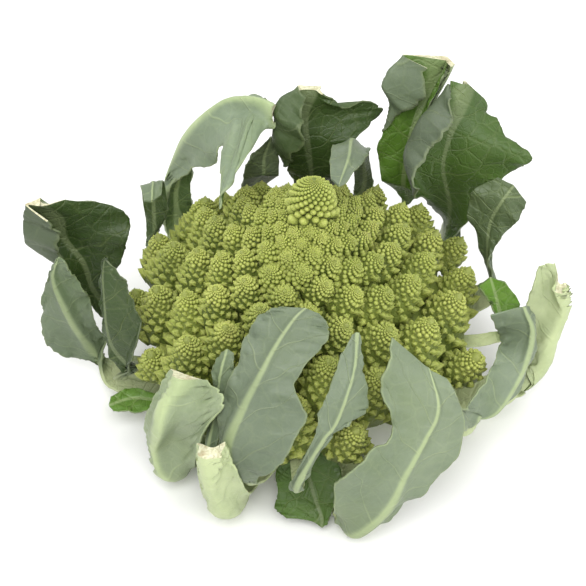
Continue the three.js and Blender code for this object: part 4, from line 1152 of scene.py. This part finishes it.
def cut_flesh():
    """A dried cut: off-white, rough, with brownish specks and strands."""
    material, tree, shader = surface("cut flesh", 0.75, 0.05)
    place = node(tree, "TexCoord").outputs["Object"]
    specks = node(tree, "TexVoronoi", None, Vector=place, Scale=620.0).outputs["Distance"]
    rough = noise(tree, 520.0, 4.0, 0.7)
    base = mix(tree, remap(tree, rough, 0.35, 0.65), CUT_DARK, CUT_PALE)
    base = mix(tree, remap(tree, noise(tree, 160.0, 2.0), 0.5, 0.75, 0.0, 0.6), base, CUT_STAIN)
    base = mix(tree, remap(tree, specks, 0.0, 0.3, 0.55, 0.0), base, CUT_SPECK)
    tree.links.new(base, shader.inputs["Base Color"])
    relief(tree, shader, rough, 0.0012, 0.9)
    return material


def stem_flesh():
    """The stem: pale green with faint lengthwise fibres."""
    material, tree, shader = surface("stem flesh", 0.5, 0.08)
    place = node(tree, "TexCoord").outputs["Object"]
    drawn = node(tree, "Mapping", None, Vector=place, Scale=(1.0, 1.0, 0.12)).outputs[0]
    fibre = noise(tree, 340.0, 3.0, place=drawn)
    base = mix(tree, remap(tree, fibre, 0.35, 0.65), STEM_DARK, STEM_PALE)
    grain = paint(tree, shader, base, 0.45)
    relief(tree, shader, calc(tree, "MULTIPLY_ADD", grain, 0.3, fibre), 0.0006, 0.7)
    return material


# Floor, light and camera

def make_floor():
    """A wide pale floor, level with the stump's cut face."""
    mesh = bpy.data.meshes.new("floor")
    reach = 3.0
    corners = [(-reach, -reach, 0), (reach, -reach, 0), (reach, reach, 0), (-reach, reach, 0)]
    mesh.from_pydata(corners, [], [(0, 1, 2, 3)])
    floor = bpy.data.objects.new("floor", mesh)
    bpy.context.scene.collection.objects.link(floor)
    material, _, shader = surface("pale floor", 0.8)
    shader.inputs["Base Color"].default_value = (0.86, 0.86, 0.85, 1)
    mesh.materials.append(material)


def aim(thing, target):
    """Turns a lamp or camera to look at a point."""
    direction = np.array(target) - np.array(thing.location)
    yaw = math.atan2(direction[0], -direction[1]) + math.pi
    pitch = math.atan2(math.hypot(direction[0], direction[1]), -direction[2])
    thing.rotation_euler = (pitch, 0, yaw)


def make_lamp(name, place, size, power):
    """A large soft lamp that looks at the head."""
    lamp = bpy.data.lights.new(name, "AREA")
    lamp.shape = "DISK"
    lamp.size = size
    lamp.energy = power
    made = bpy.data.objects.new(name, lamp)
    bpy.context.scene.collection.objects.link(made)
    made.location = place
    aim(made, (0, 0, 0.08))


def make_camera():
    """The photograph's camera: straight in front of the head, looking down on it."""
    camera = bpy.data.cameras.new("camera")
    camera.lens = LENS
    camera.sensor_width = 36.0
    made = bpy.data.objects.new("camera", camera)
    bpy.context.scene.collection.objects.link(made)
    target = np.array(CAMERA_TARGET)
    back = np.array([0, -math.cos(CAMERA_ELEVATION), math.sin(CAMERA_ELEVATION)])
    made.location = target + CAMERA_DISTANCE * back
    made.rotation_euler = (math.pi / 2 - CAMERA_ELEVATION, 0, 0)
    bpy.context.scene.camera = made


def make_light():
    """Soft lamps above the front, the right and the back, with a pale sky all round."""
    world = bpy.data.worlds.new("pale sky")
    world.use_nodes = True
    world.node_tree.nodes["Background"].inputs["Color"].default_value = (1, 1, 1, 1)
    world.node_tree.nodes["Background"].inputs["Strength"].default_value = 0.85
    bpy.context.scene.world = world
    bpy.context.scene.view_settings.view_transform = "Standard"
    make_lamp("key lamp", (-0.1, -0.6, 1.1), 0.8, 11)
    make_lamp("fill lamp", (0.9, -0.6, 0.8), 0.9, 6)
    make_lamp("back lamp", (-0.3, 0.7, 1.0), 0.8, 6)


make_camera()
make_light()
make_floor()
CURD = curd_material()
CUT = cut_flesh()
make_curd(CURD)
make_stem(stem_flesh(), CUT)
leaf_materials = [leaf_outer(), leaf_inner(), CUT]
for place, one in enumerate(LEAVES):
    make_leaf(one, place, leaf_materials)
